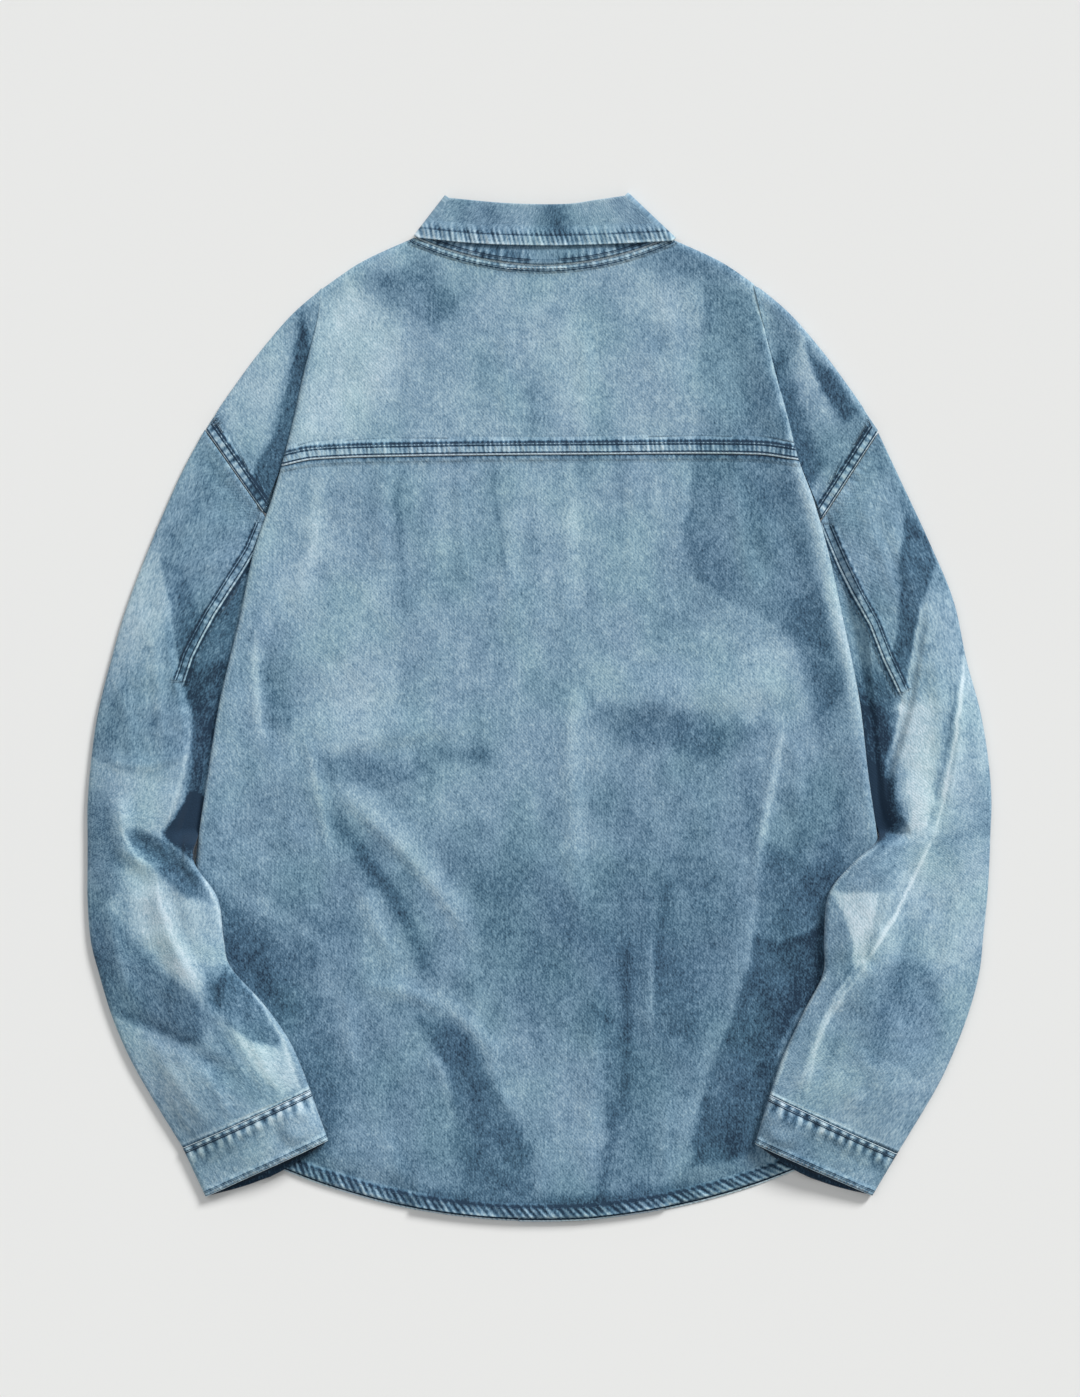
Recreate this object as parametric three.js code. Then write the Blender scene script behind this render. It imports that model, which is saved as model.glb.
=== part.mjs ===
import * as THREE from 'three';

// A denim shirt that lies face down and flat, back upwards, sleeves folded down over its sides.
// Millimetres. X to the wearer's right, Y from the hem to the collar, Z up from the surface.

// Cloth
const CLOTH = 1.2;
const SEAM_GAP = 0.3;
const LAYER_GAP = 0.4;

// Body, as it lies
const BACK_LEVEL = 6.2;
const SHORTEST_BACK = 5.6;
const FOLD_SWELL = { high: 2.6, reach: 34 };
const EDGE_ROLL = 6;
const TUCKED_SLEEVE = 3.4;
const FOLD_APEX_Y = 330;
const FOLD_FADE = 80;
const SHOULDER_SLOPE = 0.75;
const SLEEVE_OVER_Y = -95;
const SLEEVE_ON_TOP_Y = -120;
const SLEEVE_LIFT = { from: -93, to: -106 };
const SLEEVE_REST = { reach: 13, clear: 0.2, samples: 8 };
const SLEEVE_TUCK = { flat: 14, slope: 0.9 };
const WING = { low: 4.7, high: 6, foot: 4, reach: 26, under: 0.2, tuckReach: 8, tuckRise: 2 };

// Neck
const NECK = { middle: 2, half: 99, backLow: 345.5, backRise: 21.5, settle: 30, dip: 0.4 };
const NECK_FRONT = { low: 290, rise: 77, curve: 1.6 };
const STAND_HEIGHT = 38;
const FRONT_LIFT = { overPlacket: 2.7, overLeaf: 1.6 };

// Where the fronts come down again: below the collar's points, below the neck seam, past the neck's
// side and past the placket's edge
const FRONT_RAMP = {
  leaf: { from: 75, to: 105 },
  neck: { from: 75, to: 100 },
  seam: { from: 8, to: 24 },
  side: { from: 95, to: 125 },
  placket: { from: 18, to: 40 },
};

// Placket and buttons
const PLACKET = { half: 17, thick: 2.4, top: 283, below: 3, lap: 1 };
const BUTTON = { radius: 5.5, thick: 2.4, edge: 0.5, hole: 5.9, sides: 16 };
const FRONT_BUTTONS = { count: 7, first: 258, pitch: 90 };
const COLLAR_BUTTON_Y = 309;

// Hem
const HEM_BAND = { deep: 7, proud: 0.9, groove: 10, edge: 1.5, settle: 30, rest: 0.6, rise: 2 };
const FRONT_HEM = { drop: 3, from: 205, to: 250 };

// Cuffs
const CUFF = { high: 10, edge: 6, mouthShift: 7 };
const CUFF_BUTTON = { across: 0.84, down: 0.5, lift: 3.5, around: 2, reach: 20, below: 0.1 };

// Half widths of the body at each height: its folded sides
const BODY_SIDES = [
  { y: 330, left: -170, right: 166 },
  { y: 304, left: -173, right: 172.5 },
  { y: 263, left: -183.5, right: 183 },
  { y: 225, left: -192, right: 193.4 },
  { y: 194, left: -200, right: 201.5 },
  { y: 163, left: -209, right: 213 },
  { y: 122, left: -223, right: 224.6 },
  { y: 70, left: -234, right: 236 },
  { y: 8, left: -249, right: 248.6 },
  { y: -53, left: -259, right: 256 },
  { y: -112, left: -267.5, right: 264.5 },
  { y: -188, left: -274.5, right: 273.5 },
  { y: -266, left: -276, right: 276 },
  { y: -295, left: -275, right: 275 },
];

// Curved shirt-tail hem
const HEM = [
  { x: -275, y: -293 },
  { x: -268, y: -311 },
  { x: -256, y: -327 },
  { x: -234, y: -342 },
  { x: -199, y: -357 },
  { x: -164, y: -370 },
  { x: -109, y: -385 },
  { x: -50, y: -394 },
  { x: 4, y: -396.2 },
  { x: 60, y: -393 },
  { x: 125, y: -381 },
  { x: 183, y: -363 },
  { x: 234, y: -340 },
  { x: 256, y: -324 },
  { x: 269, y: -307 },
  { x: 275, y: -289 },
];

// Dropped shoulder line, from the armhole seam to the collar
const SHOULDER = [
  { x: 99, y: 367 },
  { x: 132, y: 352.5 },
  { x: 151, y: 341.5 },
  { x: 190, y: 311.5 },
  { x: 218, y: 280 },
  { x: 241, y: 249 },
  { x: 263, y: 217 },
];

// Yoke seam across the back
const YOKE_SEAM = [
  { x: -200, y: 189 },
  { x: -176, y: 194 },
  { x: -101, y: 196.6 },
  { x: 40, y: 198 },
  { x: 168, y: 198 },
  { x: 201, y: 193.5 },
];

// Outer and inner ends of each armhole
const ARMHOLES = {
  left: { outer: { x: -261.3, y: 217.6 }, inner: { x: -211.5, y: 146 } },
  right: { outer: { x: 263.6, y: 215.3 }, inner: { x: 215.8, y: 141.2 } },
};

// Sleeve sections from the armhole to the cuff: outer end, inner end, height, height of the inner end,
// place of the pleat across the section and the share of the height lost past it
const SLEEVE_LEFT = [
  { ox: -261.3, oy: 217.6, ix: -211.5, iy: 146, high: 6.2, end: 3.4, pleat: 0.5, drop: 0 },
  { ox: -280, oy: 182.5, ix: -214, iy: 127.9, high: 8, end: 3.4, pleat: 0.4, drop: 0 },
  { ox: -302, oy: 132, ix: -220, iy: 100.6, high: 10, end: 3.4, pleat: 0.35, drop: 0 },
  { ox: -322, oy: 79.6, ix: -228.5, iy: 63, high: 12, end: 3.4, pleat: 0.37, drop: 0.2 },
  { ox: -334.6, oy: 36.7, ix: -237, iy: 26.5, high: 13, end: 3.4, pleat: 0.53, drop: 0.45 },
  { ox: -344.8, oy: -4.7, ix: -245.7, iy: -10, high: 13, end: 3.4, pleat: 0.71, drop: 0.55 },
  { ox: -350.2, oy: -43.7, ix: -252, iy: -46, high: 13, end: 3.4, pleat: 0.77, drop: 0.55 },
  { ox: -352.6, oy: -75, ix: -259.7, iy: -77, high: 13, end: 3.4, pleat: 0.74, drop: 0.5 },
  { ox: -352.6, oy: -98, ix: -268.5, iy: -100.6, high: 13, end: 4, pleat: 0.7, drop: 0.45 },
  { ox: -352.6, oy: -121.7, ix: -269, iy: -119.3, high: 12, end: 6, pleat: 0.8, drop: 0.1 },
  { ox: -352.6, oy: -149, ix: -250.4, iy: -146.6, high: 12, end: 6, pleat: 0.9, drop: 0 },
  { ox: -350.2, oy: -180, ix: -245.7, iy: -178.6, high: 12, end: 6, pleat: 0.9, drop: 0 },
  { ox: -344, oy: -205, ix: -240.2, iy: -200.5, high: 12, end: 6, pleat: 0.9, drop: 0 },
  { ox: -333.8, oy: -238.7, ix: -215.3, iy: -228.5, high: 12, end: 6, pleat: 0.9, drop: 0 },
  { ox: -320.6, oy: -270, ix: -196.6, iy: -254.3, high: 11.5, end: 6, pleat: 0.9, drop: 0 },
  { ox: -304, oy: -300, ix: -186.4, iy: -275.3, high: 11, end: 6, pleat: 0.9, drop: 0 },
  { ox: -278.5, oy: -341.6, ix: -178.6, iy: -295.6, high: 10, end: 6, pleat: 0.9, drop: 0 },
];

const SLEEVE_RIGHT = [
  { ox: 263.6, oy: 215.3, ix: 215.8, iy: 141.2, high: 6.2, end: 3.4, pleat: 0.5, drop: 0 },
  { ox: 280, oy: 180.2, ix: 218.4, iy: 122.5, high: 8, end: 3.4, pleat: 0.4, drop: 0 },
  { ox: 302.6, oy: 131.8, ix: 224.6, iy: 95.9, high: 10, end: 3.4, pleat: 0.25, drop: 0 },
  { ox: 322, oy: 85, ix: 231.7, iy: 63.2, high: 12, end: 3.4, pleat: 0.25, drop: 0.2 },
  { ox: 332.3, oy: 38.2, ix: 238.7, iy: 26.5, high: 13, end: 3.4, pleat: 0.41, drop: 0.4 },
  { ox: 343.2, oy: -2.3, ix: 244.9, iy: -10, high: 13, end: 3.4, pleat: 0.58, drop: 0.5 },
  { ox: 349.4, oy: -39.8, ix: 248.8, iy: -46, high: 13, end: 3.4, pleat: 0.74, drop: 0.55 },
  { ox: 351.8, oy: -71, ix: 251.9, iy: -75.7, high: 13, end: 3.4, pleat: 0.79, drop: 0.5 },
  { ox: 351, oy: -95.9, ix: 267, iy: -99.1, high: 13, end: 4, pleat: 0.85, drop: 0.3 },
  { ox: 350.2, oy: -119.3, ix: 245, iy: -117.8, high: 12, end: 6, pleat: 0.9, drop: 0 },
  { ox: 348.7, oy: -145, ix: 224.6, iy: -142.7, high: 12, end: 6, pleat: 0.9, drop: 0 },
  { ox: 345.5, oy: -176.3, ix: 220.7, iy: -176.3, high: 12, end: 6, pleat: 0.9, drop: 0 },
  { ox: 342.4, oy: -205, ix: 220, iy: -205, high: 12, end: 6, pleat: 0.9, drop: 0 },
  { ox: 334.6, oy: -234.8, ix: 205.9, iy: -233.2, high: 12, end: 6, pleat: 0.9, drop: 0 },
  { ox: 322.9, oy: -266, ix: 191.9, iy: -262.9, high: 11.5, end: 6, pleat: 0.9, drop: 0 },
  { ox: 308, oy: -297.2, ix: 184.9, iy: -280, high: 11, end: 6, pleat: 0.9, drop: 0 },
  { ox: 278.5, oy: -346.3, ix: 178.6, iy: -299.5, high: 10, end: 6, pleat: 0.9, drop: 0 },
];

// Ends of each cuff's open edge, as its upper ply shows them
const CUFF_EDGES = {
  left: { ox: -260.5, oy: -379.9, ix: -164.6, iy: -335 },
  right: { ox: 259, oy: -379.1, ix: 166.9, iy: -337.7 },
};

// Creases: a bent line from 0 through 1 to 2, its rise, and how far it reaches on either side
const BACK_CREASES = [
  { x0: -154, y0: -66, x1: -74, y1: -136, x2: -58, y2: -177, rise: 3.6, leftReach: 24, rightReach: 9 },
  { x0: -168, y0: -78, x1: -112, y1: -124, x2: -83, y2: -193, rise: -0.6, leftReach: 9, rightReach: 18 },
  { x0: -139, y0: -136, x1: -126, y1: -180, x2: -110, y2: -196, rise: 2.2, leftReach: 9, rightReach: 12 },
  { x0: -132, y0: -217, x1: -82, y1: -214, x2: -35, y2: -268, rise: 2.8, leftReach: 14, rightReach: 10 },
  { x0: -87, y0: -271, x1: -66, y1: -284, x2: -67, y2: -316, rise: 2, leftReach: 9, rightReach: 9 },
  { x0: -182, y0: -25, x1: -169, y1: -60, x2: -165, y2: -110, rise: 2.4, leftReach: 8, rightReach: 10 },
  { x0: -219, y0: 62, x1: -225, y1: 14, x2: -217, y2: -22, rise: 2.2, leftReach: 10, rightReach: 8 },
  { x0: -171, y0: -30, x1: -120, y1: -22, x2: -60, y2: -12, rise: 2.2, leftReach: 26, rightReach: 12 },
  { x0: 30, y0: 23, x1: 19, y1: -50, x2: 29, y2: -153, rise: 2.2, leftReach: 12, rightReach: 12 },
  { x0: 46, y0: 4, x1: 120, y1: 8, x2: 200, y2: 20, rise: 2.6, leftReach: 36, rightReach: 22 },
  { x0: 188, y0: -14, x1: 172, y1: -80, x2: 167, y2: -145, rise: 2.6, leftReach: 8, rightReach: 8 },
  { x0: 86, y0: -180, x1: 90, y1: -215, x2: 84, y2: -249, rise: 2, leftReach: 10, rightReach: 14 },
  { x0: 165, y0: -180, x1: 160, y1: -262, x2: 126, y2: -364, rise: 2.4, leftReach: 14, rightReach: 22 },
  { x0: 44, y0: -200, x1: 46, y1: -290, x2: 34, y2: -376, rise: 2, leftReach: 9, rightReach: 16 },
  { x0: -20, y0: 180, x1: -28, y1: 120, x2: -22, y2: 60, rise: 1.5, leftReach: 12, rightReach: 12 },
  { x0: 26, y0: 180, x1: 22, y1: 120, x2: 18, y2: 60, rise: 1.5, leftReach: 14, rightReach: 12 },
];

const LEFT_SLEEVE_CREASES = [
  { x0: -325, y0: -70, x1: -328, y1: -112, x2: -302, y2: -123, rise: 3, leftReach: 12, rightReach: 14 },
  { x0: -322, y0: -98, x1: -290, y1: -112, x2: -258, y2: -145, rise: -2.6, leftReach: 12, rightReach: 12 },
  { x0: -298, y0: -128, x1: -297, y1: -170, x2: -266, y2: -215, rise: 3.2, leftReach: 14, rightReach: 16 },
  { x0: -330, y0: -236, x1: -280, y1: -254, x2: -233, y2: -288, rise: -1.8, leftReach: 12, rightReach: 14 },
  { x0: -248, y0: -232, x1: -222, y1: -262, x2: -207, y2: -296, rise: 2, leftReach: 12, rightReach: 12 },
];

const RIGHT_SLEEVE_CREASES = [
  { x0: 331, y0: 38, x1: 328, y1: -30, x2: 314, y2: -84, rise: 3, leftReach: 12, rightReach: 12 },
  { x0: 314, y0: -84, x1: 264, y1: -140, x2: 257, y2: -195, rise: 3.4, leftReach: 14, rightReach: 14 },
  { x0: 257, y0: -195, x1: 248, y1: -216, x2: 225, y2: -233, rise: 2.8, leftReach: 12, rightReach: 12 },
  { x0: 225, y0: -234, x1: 210, y1: -268, x2: 202, y2: -296, rise: 2, leftReach: 12, rightReach: 12 },
  { x0: 290, y0: -150, x1: 280, y1: -210, x2: 262, y2: -262, rise: -1.8, leftReach: 18, rightReach: 14 },
];

// Collar leaf: its fold line and its free edge on the back of the neck
const LEAF_FOLD = [
  { s: -1, x: -71, y: 397.5 },
  { s: -0.45, x: -25, y: 393.4 },
  { s: 0.2, x: 20, y: 392.8 },
  { s: 0.6, x: 44, y: 396 },
  { s: 1, x: 66, y: 399.2 },
];
const LEAF_EDGE = [
  { s: -1, x: -95, y: 366.4 },
  { s: -0.5, x: -48, y: 362 },
  { s: 0, x: 3, y: 360.5 },
  { s: 0.5, x: 54, y: 361.6 },
  { s: 1, x: 103, y: 364 },
];
const LEAF_FRONT = { start: 0.12, foldLow: 328, tipX: 52, tipY: 258, curve: 0.9 };
const LEAF_LAYERS = { front: 0.6, back: 7.75 };
const STAND_LAYERS = { front: 3.3, back: 5.9 };
const STAND = { edgeGap: 1.8, frontGap: 0.006, inset: 3, foldShare: 0.96, turnFrom: 0.9 };

// Colours
const DENIM = { color: 0x86a5bb, roughness: 0.92, metalness: 0 };
const DENIM_DARK = { color: 0x6f91aa, roughness: 0.92, metalness: 0 };
const DENIM_PALE = { color: 0x9ab6c6, roughness: 0.9, metalness: 0 };
const RESIN = { color: 0x3c4650, roughness: 0.4, metalness: 0 };

// Plain arithmetic

function mix(a, b, t) {
  return a + (b - a) * t;
}

function clamp(value, low, high) {
  return Math.min(Math.max(value, low), high);
}

// 0 before from, 1 past to, smooth between
function ease(from, to, value) {
  const t = clamp((value - from) / (to - from), 0, 1);
  return t * t * (3 - 2 * t);
}

// A smooth curve through the rows of a table
function curve(rows, from, to) {
  const sorted = [...rows].sort((a, b) => a[from] - b[from]);
  const last = sorted.length - 1;
  const slopes = sorted.map((row, i) => {
    const before = sorted[Math.max(i - 1, 0)];
    const after = sorted[Math.min(i + 1, last)];
    return (after[to] - before[to]) / (after[from] - before[from]);
  });
  return (value) => {
    let i = 0;
    while (i < last - 1 && value > sorted[i + 1][from]) i += 1;
    const span = sorted[i + 1][from] - sorted[i][from];
    const t = clamp((value - sorted[i][from]) / span, 0, 1);
    const t2 = t * t;
    const t3 = t2 * t;
    return (
      sorted[i][to] * (2 * t3 - 3 * t2 + 1) +
      slopes[i] * span * (t3 - 2 * t2 + t) +
      sorted[i + 1][to] * (3 * t2 - 2 * t3) +
      slopes[i + 1] * span * (t3 - t2)
    );
  };
}

// Shares from 0 to 1 in even steps
function evenly(count) {
  return Array.from({ length: count + 1 }, (_, i) => i / count);
}

// Creases

const CREASE_STEPS = 8;

// Points along a crease's bent line
function creaseLine(row) {
  return evenly(CREASE_STEPS).map((t) => {
    const k = 1 - t;
    return {
      t,
      x: k * k * row.x0 + 2 * k * t * row.x1 + t * t * row.x2,
      y: k * k * row.y0 + 2 * k * t * row.y1 + t * t * row.y2,
    };
  });
}

// How much one crease raises the cloth at a place: full on its line, fading to its sides and ends
function creaseRise(crease, x, y) {
  let best = Infinity;
  let side = 0;
  let along = 0;
  for (let i = 0; i < CREASE_STEPS; i += 1) {
    const a = crease.line[i];
    const b = crease.line[i + 1];
    const dx = b.x - a.x;
    const dy = b.y - a.y;
    const t = clamp(((x - a.x) * dx + (y - a.y) * dy) / (dx * dx + dy * dy), 0, 1);
    const distance = Math.hypot(x - a.x - dx * t, y - a.y - dy * t);
    if (distance < best) {
      best = distance;
      side = dx * (y - a.y) - dy * (x - a.x);
      along = mix(a.t, b.t, t);
    }
  }
  const reach = side > 0 ? crease.leftReach : crease.rightReach;
  const across = 1 - ease(0, reach, best);
  const ends = ease(-0.12, 0.22, along) * (1 - ease(0.78, 1.12, along));
  return crease.rise * across * ends;
}

function creaseField(rows) {
  const creases = rows.map((row) => ({ ...row, line: creaseLine(row) }));
  return (x, y) => creases.reduce((sum, crease) => sum + creaseRise(crease, x, y), 0);
}

const backCreases = creaseField(BACK_CREASES);

// Outline of the body

const sideLeft = curve(BODY_SIDES, 'y', 'left');
const sideRight = curve(BODY_SIDES, 'y', 'right');
const hemLine = curve(HEM, 'x', 'y');
const seamLine = curve(YOKE_SEAM, 'x', 'y');
const shoulderByX = curve(SHOULDER, 'x', 'y');
const shoulderByY = curve(SHOULDER, 'y', 'x');

function shoulderLine(x) {
  return shoulderByX(Math.abs(x - 1));
}

function neckBack(x) {
  const out = (x - NECK.middle) / NECK.half;
  return NECK.backLow + NECK.backRise * out * out;
}

function neckFront(x) {
  const out = Math.min(Math.abs(x - NECK.middle) / NECK.half, 1);
  return NECK_FRONT.low + NECK_FRONT.rise * out ** NECK_FRONT.curve;
}

// Upper edge of the yoke: the neck seam between the shoulders' inner ends
function yokeTop(x) {
  return Math.abs(x - NECK.middle) < NECK.half ? neckBack(x) : shoulderLine(x);
}

// Heights of the body's layers

// 1 before a ramp, 0 past it
function before(ramp, value) {
  return 1 - ease(ramp.from, ramp.to, value);
}

// Underside of the fronts: flat on the surface, lifted over the placket and over the collar's points
function frontLow(x, y, overPlacket) {
  const belowNeck = neckFront(x) - y;
  const fromMiddle = Math.abs(x - NECK.middle);
  const nearNeck = fromMiddle < NECK.half ? before(FRONT_RAMP.neck, belowNeck) : 0;
  const collar = FRONT_LIFT.overLeaf * before(FRONT_RAMP.leaf, belowNeck);
  const more = FRONT_LIFT.overPlacket - FRONT_LIFT.overLeaf;
  const atSeam = more * before(FRONT_RAMP.seam, belowNeck) * nearNeck;
  const lifted = (collar + atSeam) * before(FRONT_RAMP.side, fromMiddle);
  if (!overPlacket) return lifted;
  return Math.max(lifted, FRONT_LIFT.overPlacket * before(FRONT_RAMP.placket, x - PLACKET.half));
}

// Top of the uppermost front at a place
function frontTop(x, y) {
  return frontLow(x, y, true) + CLOTH;
}

function insideFold(x, y) {
  return Math.min(x - sideLeft(y), sideRight(y) - x);
}

// Drop of a rolled edge: 1 at the edge, 0 once a full roll inside
function rolled(distance, reach) {
  const t = clamp(1 - distance / reach, 0, 1);
  return 1 - Math.sqrt(1 - t * t);
}

// Level of the cloth's top right at the folded sides
function foldEdgeTop(y) {
  const overSleeve = TUCKED_SLEEVE + 2 * LAYER_GAP + CLOTH;
  const overFront = CLOTH + LAYER_GAP + CLOTH;
  return mix(overSleeve, overFront, ease(SLEEVE_OVER_Y, SLEEVE_ON_TOP_Y, y));
}

// Outer surface of the back and the yoke
function bodyTop(x, y) {
  const inside = insideFold(x, y);
  const grown = ease(FOLD_APEX_Y, FOLD_APEX_Y - FOLD_FADE, y);
  const lowest = frontTop(x, y) + LAYER_GAP + CLOTH;
  const open = Math.max(BACK_LEVEL + backCreases(x, y), SHORTEST_BACK);
  const swell = FOLD_SWELL.high * grown * (1 - ease(0, FOLD_SWELL.reach, inside));
  let top = open + (inside > 0 ? swell : 0);
  if (inside > 0) {
    top = mix(top, foldEdgeTop(y), grown * rolled(inside, EDGE_ROLL));
  } else {
    const wing = mix(WING.low, WING.high, ease(WING.foot, WING.reach, -inside));
    const tucked = foldEdgeTop(y) - WING.under + ease(0, WING.tuckReach, -inside) * WING.tuckRise;
    top = mix(open, Math.min(wing, tucked), grown);
  }
  const toHem = y - hemLine(clamp(x, HEM[0].x, HEM.at(-1).x));
  if (toHem < HEM_BAND.settle) {
    const settled = lowest + HEM_BAND.rest + ease(0, HEM_BAND.settle, toHem) * HEM_BAND.rise;
    top = mix(Math.min(top, settled), top, ease(HEM_BAND.groove, HEM_BAND.settle, toHem));
    const band = (1 - ease(HEM_BAND.deep, HEM_BAND.groove, toHem)) * ease(0, HEM_BAND.edge, toHem);
    top += HEM_BAND.proud * band;
  }
  if (Math.abs(x - NECK.middle) > NECK.half) {
    const toShoulder = (shoulderLine(x) - y) * SHOULDER_SLOPE;
    top = mix(top, lowest, rolled(toShoulder, EDGE_ROLL));
  } else {
    const atNeck = STAND_LAYERS.back + CLOTH / 2;
    top = mix(atNeck, Math.max(top, atNeck - NECK.dip), ease(0, NECK.settle, neckBack(x) - y));
  }
  return Math.max(top, lowest);
}

function insideBody(x, y) {
  return y > hemLine(clamp(x, HEM[0].x, HEM.at(-1).x)) && insideFold(x, y) > 0;
}

// Level that a sleeve or cuff lies on: the surface, or the body's highest point nearby
function groundLevel(x, y) {
  const { reach, clear, samples } = SLEEVE_REST;
  let level = 0;
  for (const ring of [0, 0.5, 1]) {
    for (let i = 0; i < samples; i += 1) {
      const angle = (2 * Math.PI * i) / samples;
      const px = x + reach * ring * Math.cos(angle);
      const py = y + reach * ring * Math.sin(angle);
      if (insideBody(px, py)) level = Math.max(level, bodyTop(px, py) + LAYER_GAP + clear);
    }
  }
  return level * ease(SLEEVE_LIFT.from, SLEEVE_LIFT.to, y);
}

// Solids from grids of points

function solidGeometry(points, faces) {
  let volume = 0;
  for (const [a, b, c] of faces) {
    volume += points[a].dot(new THREE.Vector3().crossVectors(points[b], points[c]));
  }
  const index = faces.flatMap(([a, b, c]) => (volume > 0 ? [a, b, c] : [a, c, b]));
  const geometry = new THREE.BufferGeometry();
  geometry.setAttribute('position', new THREE.Float32BufferAttribute(points.flatMap((p) => p.toArray()), 3));
  geometry.setIndex(index);
  geometry.computeVertexNormals();
  return geometry;
}

function quad(a, b, c, d) {
  return [[a, b, c], [a, c, d]];
}

// A wall between two open grids of the same size, rows of equal length
function slabGeometry(upper, lower) {
  const rows = upper.length - 1;
  const columns = upper[0].length - 1;
  const wide = columns + 1;
  const half = (rows + 1) * wide;
  const points = [...upper.flat(), ...lower.flat()];
  const faces = [];
  for (let j = 0; j < rows; j += 1) {
    for (let i = 0; i < columns; i += 1) {
      const a = j * wide + i;
      faces.push(...quad(a, a + 1, a + wide + 1, a + wide));
      faces.push(...quad(half + a, half + a + wide, half + a + wide + 1, half + a + 1));
    }
  }
  const rim = [];
  for (let i = 0; i < columns; i += 1) rim.push([i, i + 1]);
  for (let j = 0; j < rows; j += 1) rim.push([j * wide + columns, (j + 1) * wide + columns]);
  for (let i = columns; i > 0; i -= 1) rim.push([rows * wide + i, rows * wide + i - 1]);
  for (let j = rows; j > 0; j -= 1) rim.push([j * wide, (j - 1) * wide]);
  for (const [p, q] of rim) faces.push(...quad(q, p, half + p, half + q));
  return solidGeometry(points, faces);
}

// A wall between two stacks of closed rings, the inner one inside the outer one, open at both ends
function tubeGeometry(outer, inner) {
  const around = outer[0].length;
  const last = outer.length - 1;
  const half = outer.length * around;
  const points = [...outer.flat(), ...inner.flat()];
  const faces = [];
  for (let i = 0; i < around; i += 1) {
    const next = (i + 1) % around;
    for (let k = 0; k < last; k += 1) {
      const a = k * around;
      const b = a + around;
      faces.push(...quad(a + i, a + next, b + next, b + i));
      faces.push(...quad(half + a + i, half + b + i, half + b + next, half + a + next));
    }
    const end = last * around;
    faces.push(...quad(next, i, half + i, half + next));
    faces.push(...quad(end + i, end + next, half + end + next, half + end + i));
  }
  return solidGeometry(points, faces);
}

// Normals of a grid of points, from its neighbours
function gridNormals(grid) {
  const rows = grid.length - 1;
  const columns = grid[0].length - 1;
  return grid.map((row, j) =>
    row.map((_, i) => {
      const across = new THREE.Vector3().subVectors(
        row[Math.min(i + 1, columns)],
        row[Math.max(i - 1, 0)],
      );
      const along = new THREE.Vector3().subVectors(
        grid[Math.min(j + 1, rows)][i],
        grid[Math.max(j - 1, 0)][i],
      );
      return across.cross(along).normalize();
    }),
  );
}

// The same grid moved down by the cloth's thickness: along its normals inside, straight down at its rim
function clothBelow(grid) {
  const lower = offsetGrid(grid, -CLOTH);
  const rows = grid.length - 1;
  const columns = grid[0].length - 1;
  return lower.map((row, j) =>
    row.map((point, i) => {
      const atRim = j === 0 || j === rows || i === 0 || i === columns;
      const above = grid[j][i];
      return atRim ? new THREE.Vector3(above.x, above.y, above.z - CLOTH) : point;
    }),
  );
}

// The same grid moved along its normals
function offsetGrid(grid, distance) {
  const normals = gridNormals(grid);
  return grid.map((row, j) => row.map((point, i) => point.clone().addScaledVector(normals[j][i], distance)));
}

function clothMesh(name, geometry, finish) {
  const mesh = new THREE.Mesh(geometry, new THREE.MeshStandardMaterial(finish));
  mesh.name = name;
  return mesh;
}

// Back panel: rows from the yoke seam to the hem, columns from fold to fold

const SEAM_AT_FOLD_Y = 194;
const BACK_EDGE_STEPS = [0, 1.3, 4, 10, 20];
const BACK_INNER_COLUMNS = 22;
const BACK_ROWS = 22;
const YOKE_CLEAR = 1.5 * SEAM_GAP;
const HEM_STEPS = [7.5, 6, 1.2, 0];

function backColumns() {
  const reach = BACK_EDGE_STEPS.at(-1);
  const left = BACK_EDGE_STEPS.map((step) => (y) => sideLeft(y) + step);
  const right = [...BACK_EDGE_STEPS].reverse().map((step) => (y) => sideRight(y) - step);
  const inner = evenly(BACK_INNER_COLUMNS).slice(1, -1).map(
    (t) => (y) => mix(sideLeft(y) + reach, sideRight(y) - reach, t),
  );
  return [...left, ...inner, ...right];
}

function makeBackPanel() {
  const lowestY = BODY_SIDES.at(-1).y;
  const columns = backColumns();
  const place = (column, yAt) => {
    const x = column(yAt);
    return new THREE.Vector3(x, yAt, bodyTop(x, yAt));
  };
  const rows = [];
  for (const t of evenly(BACK_ROWS)) {
    rows.push(columns.map((column) => {
      const hemY = hemLine(column(lowestY));
      const seamY = seamLine(column(SEAM_AT_FOLD_Y)) - YOKE_CLEAR;
      return place(column, mix(seamY, hemY + HEM_BAND.groove, t));
    }));
  }
  for (const step of HEM_STEPS) {
    rows.push(columns.map((column) => place(column, hemLine(column(lowestY)) + step)));
  }
  rows.reverse();
  return clothMesh('back_panel', slabGeometry(rows, clothBelow(rows)), DENIM);
}

// Yoke: a middle between the folds and a wing over each shoulder, down to the armhole seam

const YOKE_SHARES = [0, 0.012, 0.03, 0.07, 0.14, 0.217, 0.28, 0.35, 0.42, 0.49, 0.56, 0.63, 0.71, 0.804,
  0.86, 0.93, 0.97, 0.988, 1];
const WING_SHARES = [0.05, 0.25, 0.5, 0.75, 1];
const YOKE_HEIGHTS = [0, 0.1, 0.2, 0.3, 0.4, 0.5, 0.6, 0.7, 0.79, 0.87, 0.93, 0.97, 0.99, 1];
const ARMHOLE_SHARE = 0.4;
const ARMHOLE_COVERED = 0.1;
const WING_TRIM = 2 * SEAM_GAP;
const WING_EDGE = { past: 4, turn: 0.12, clear: 0.6, belowApex: 2 };

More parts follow.
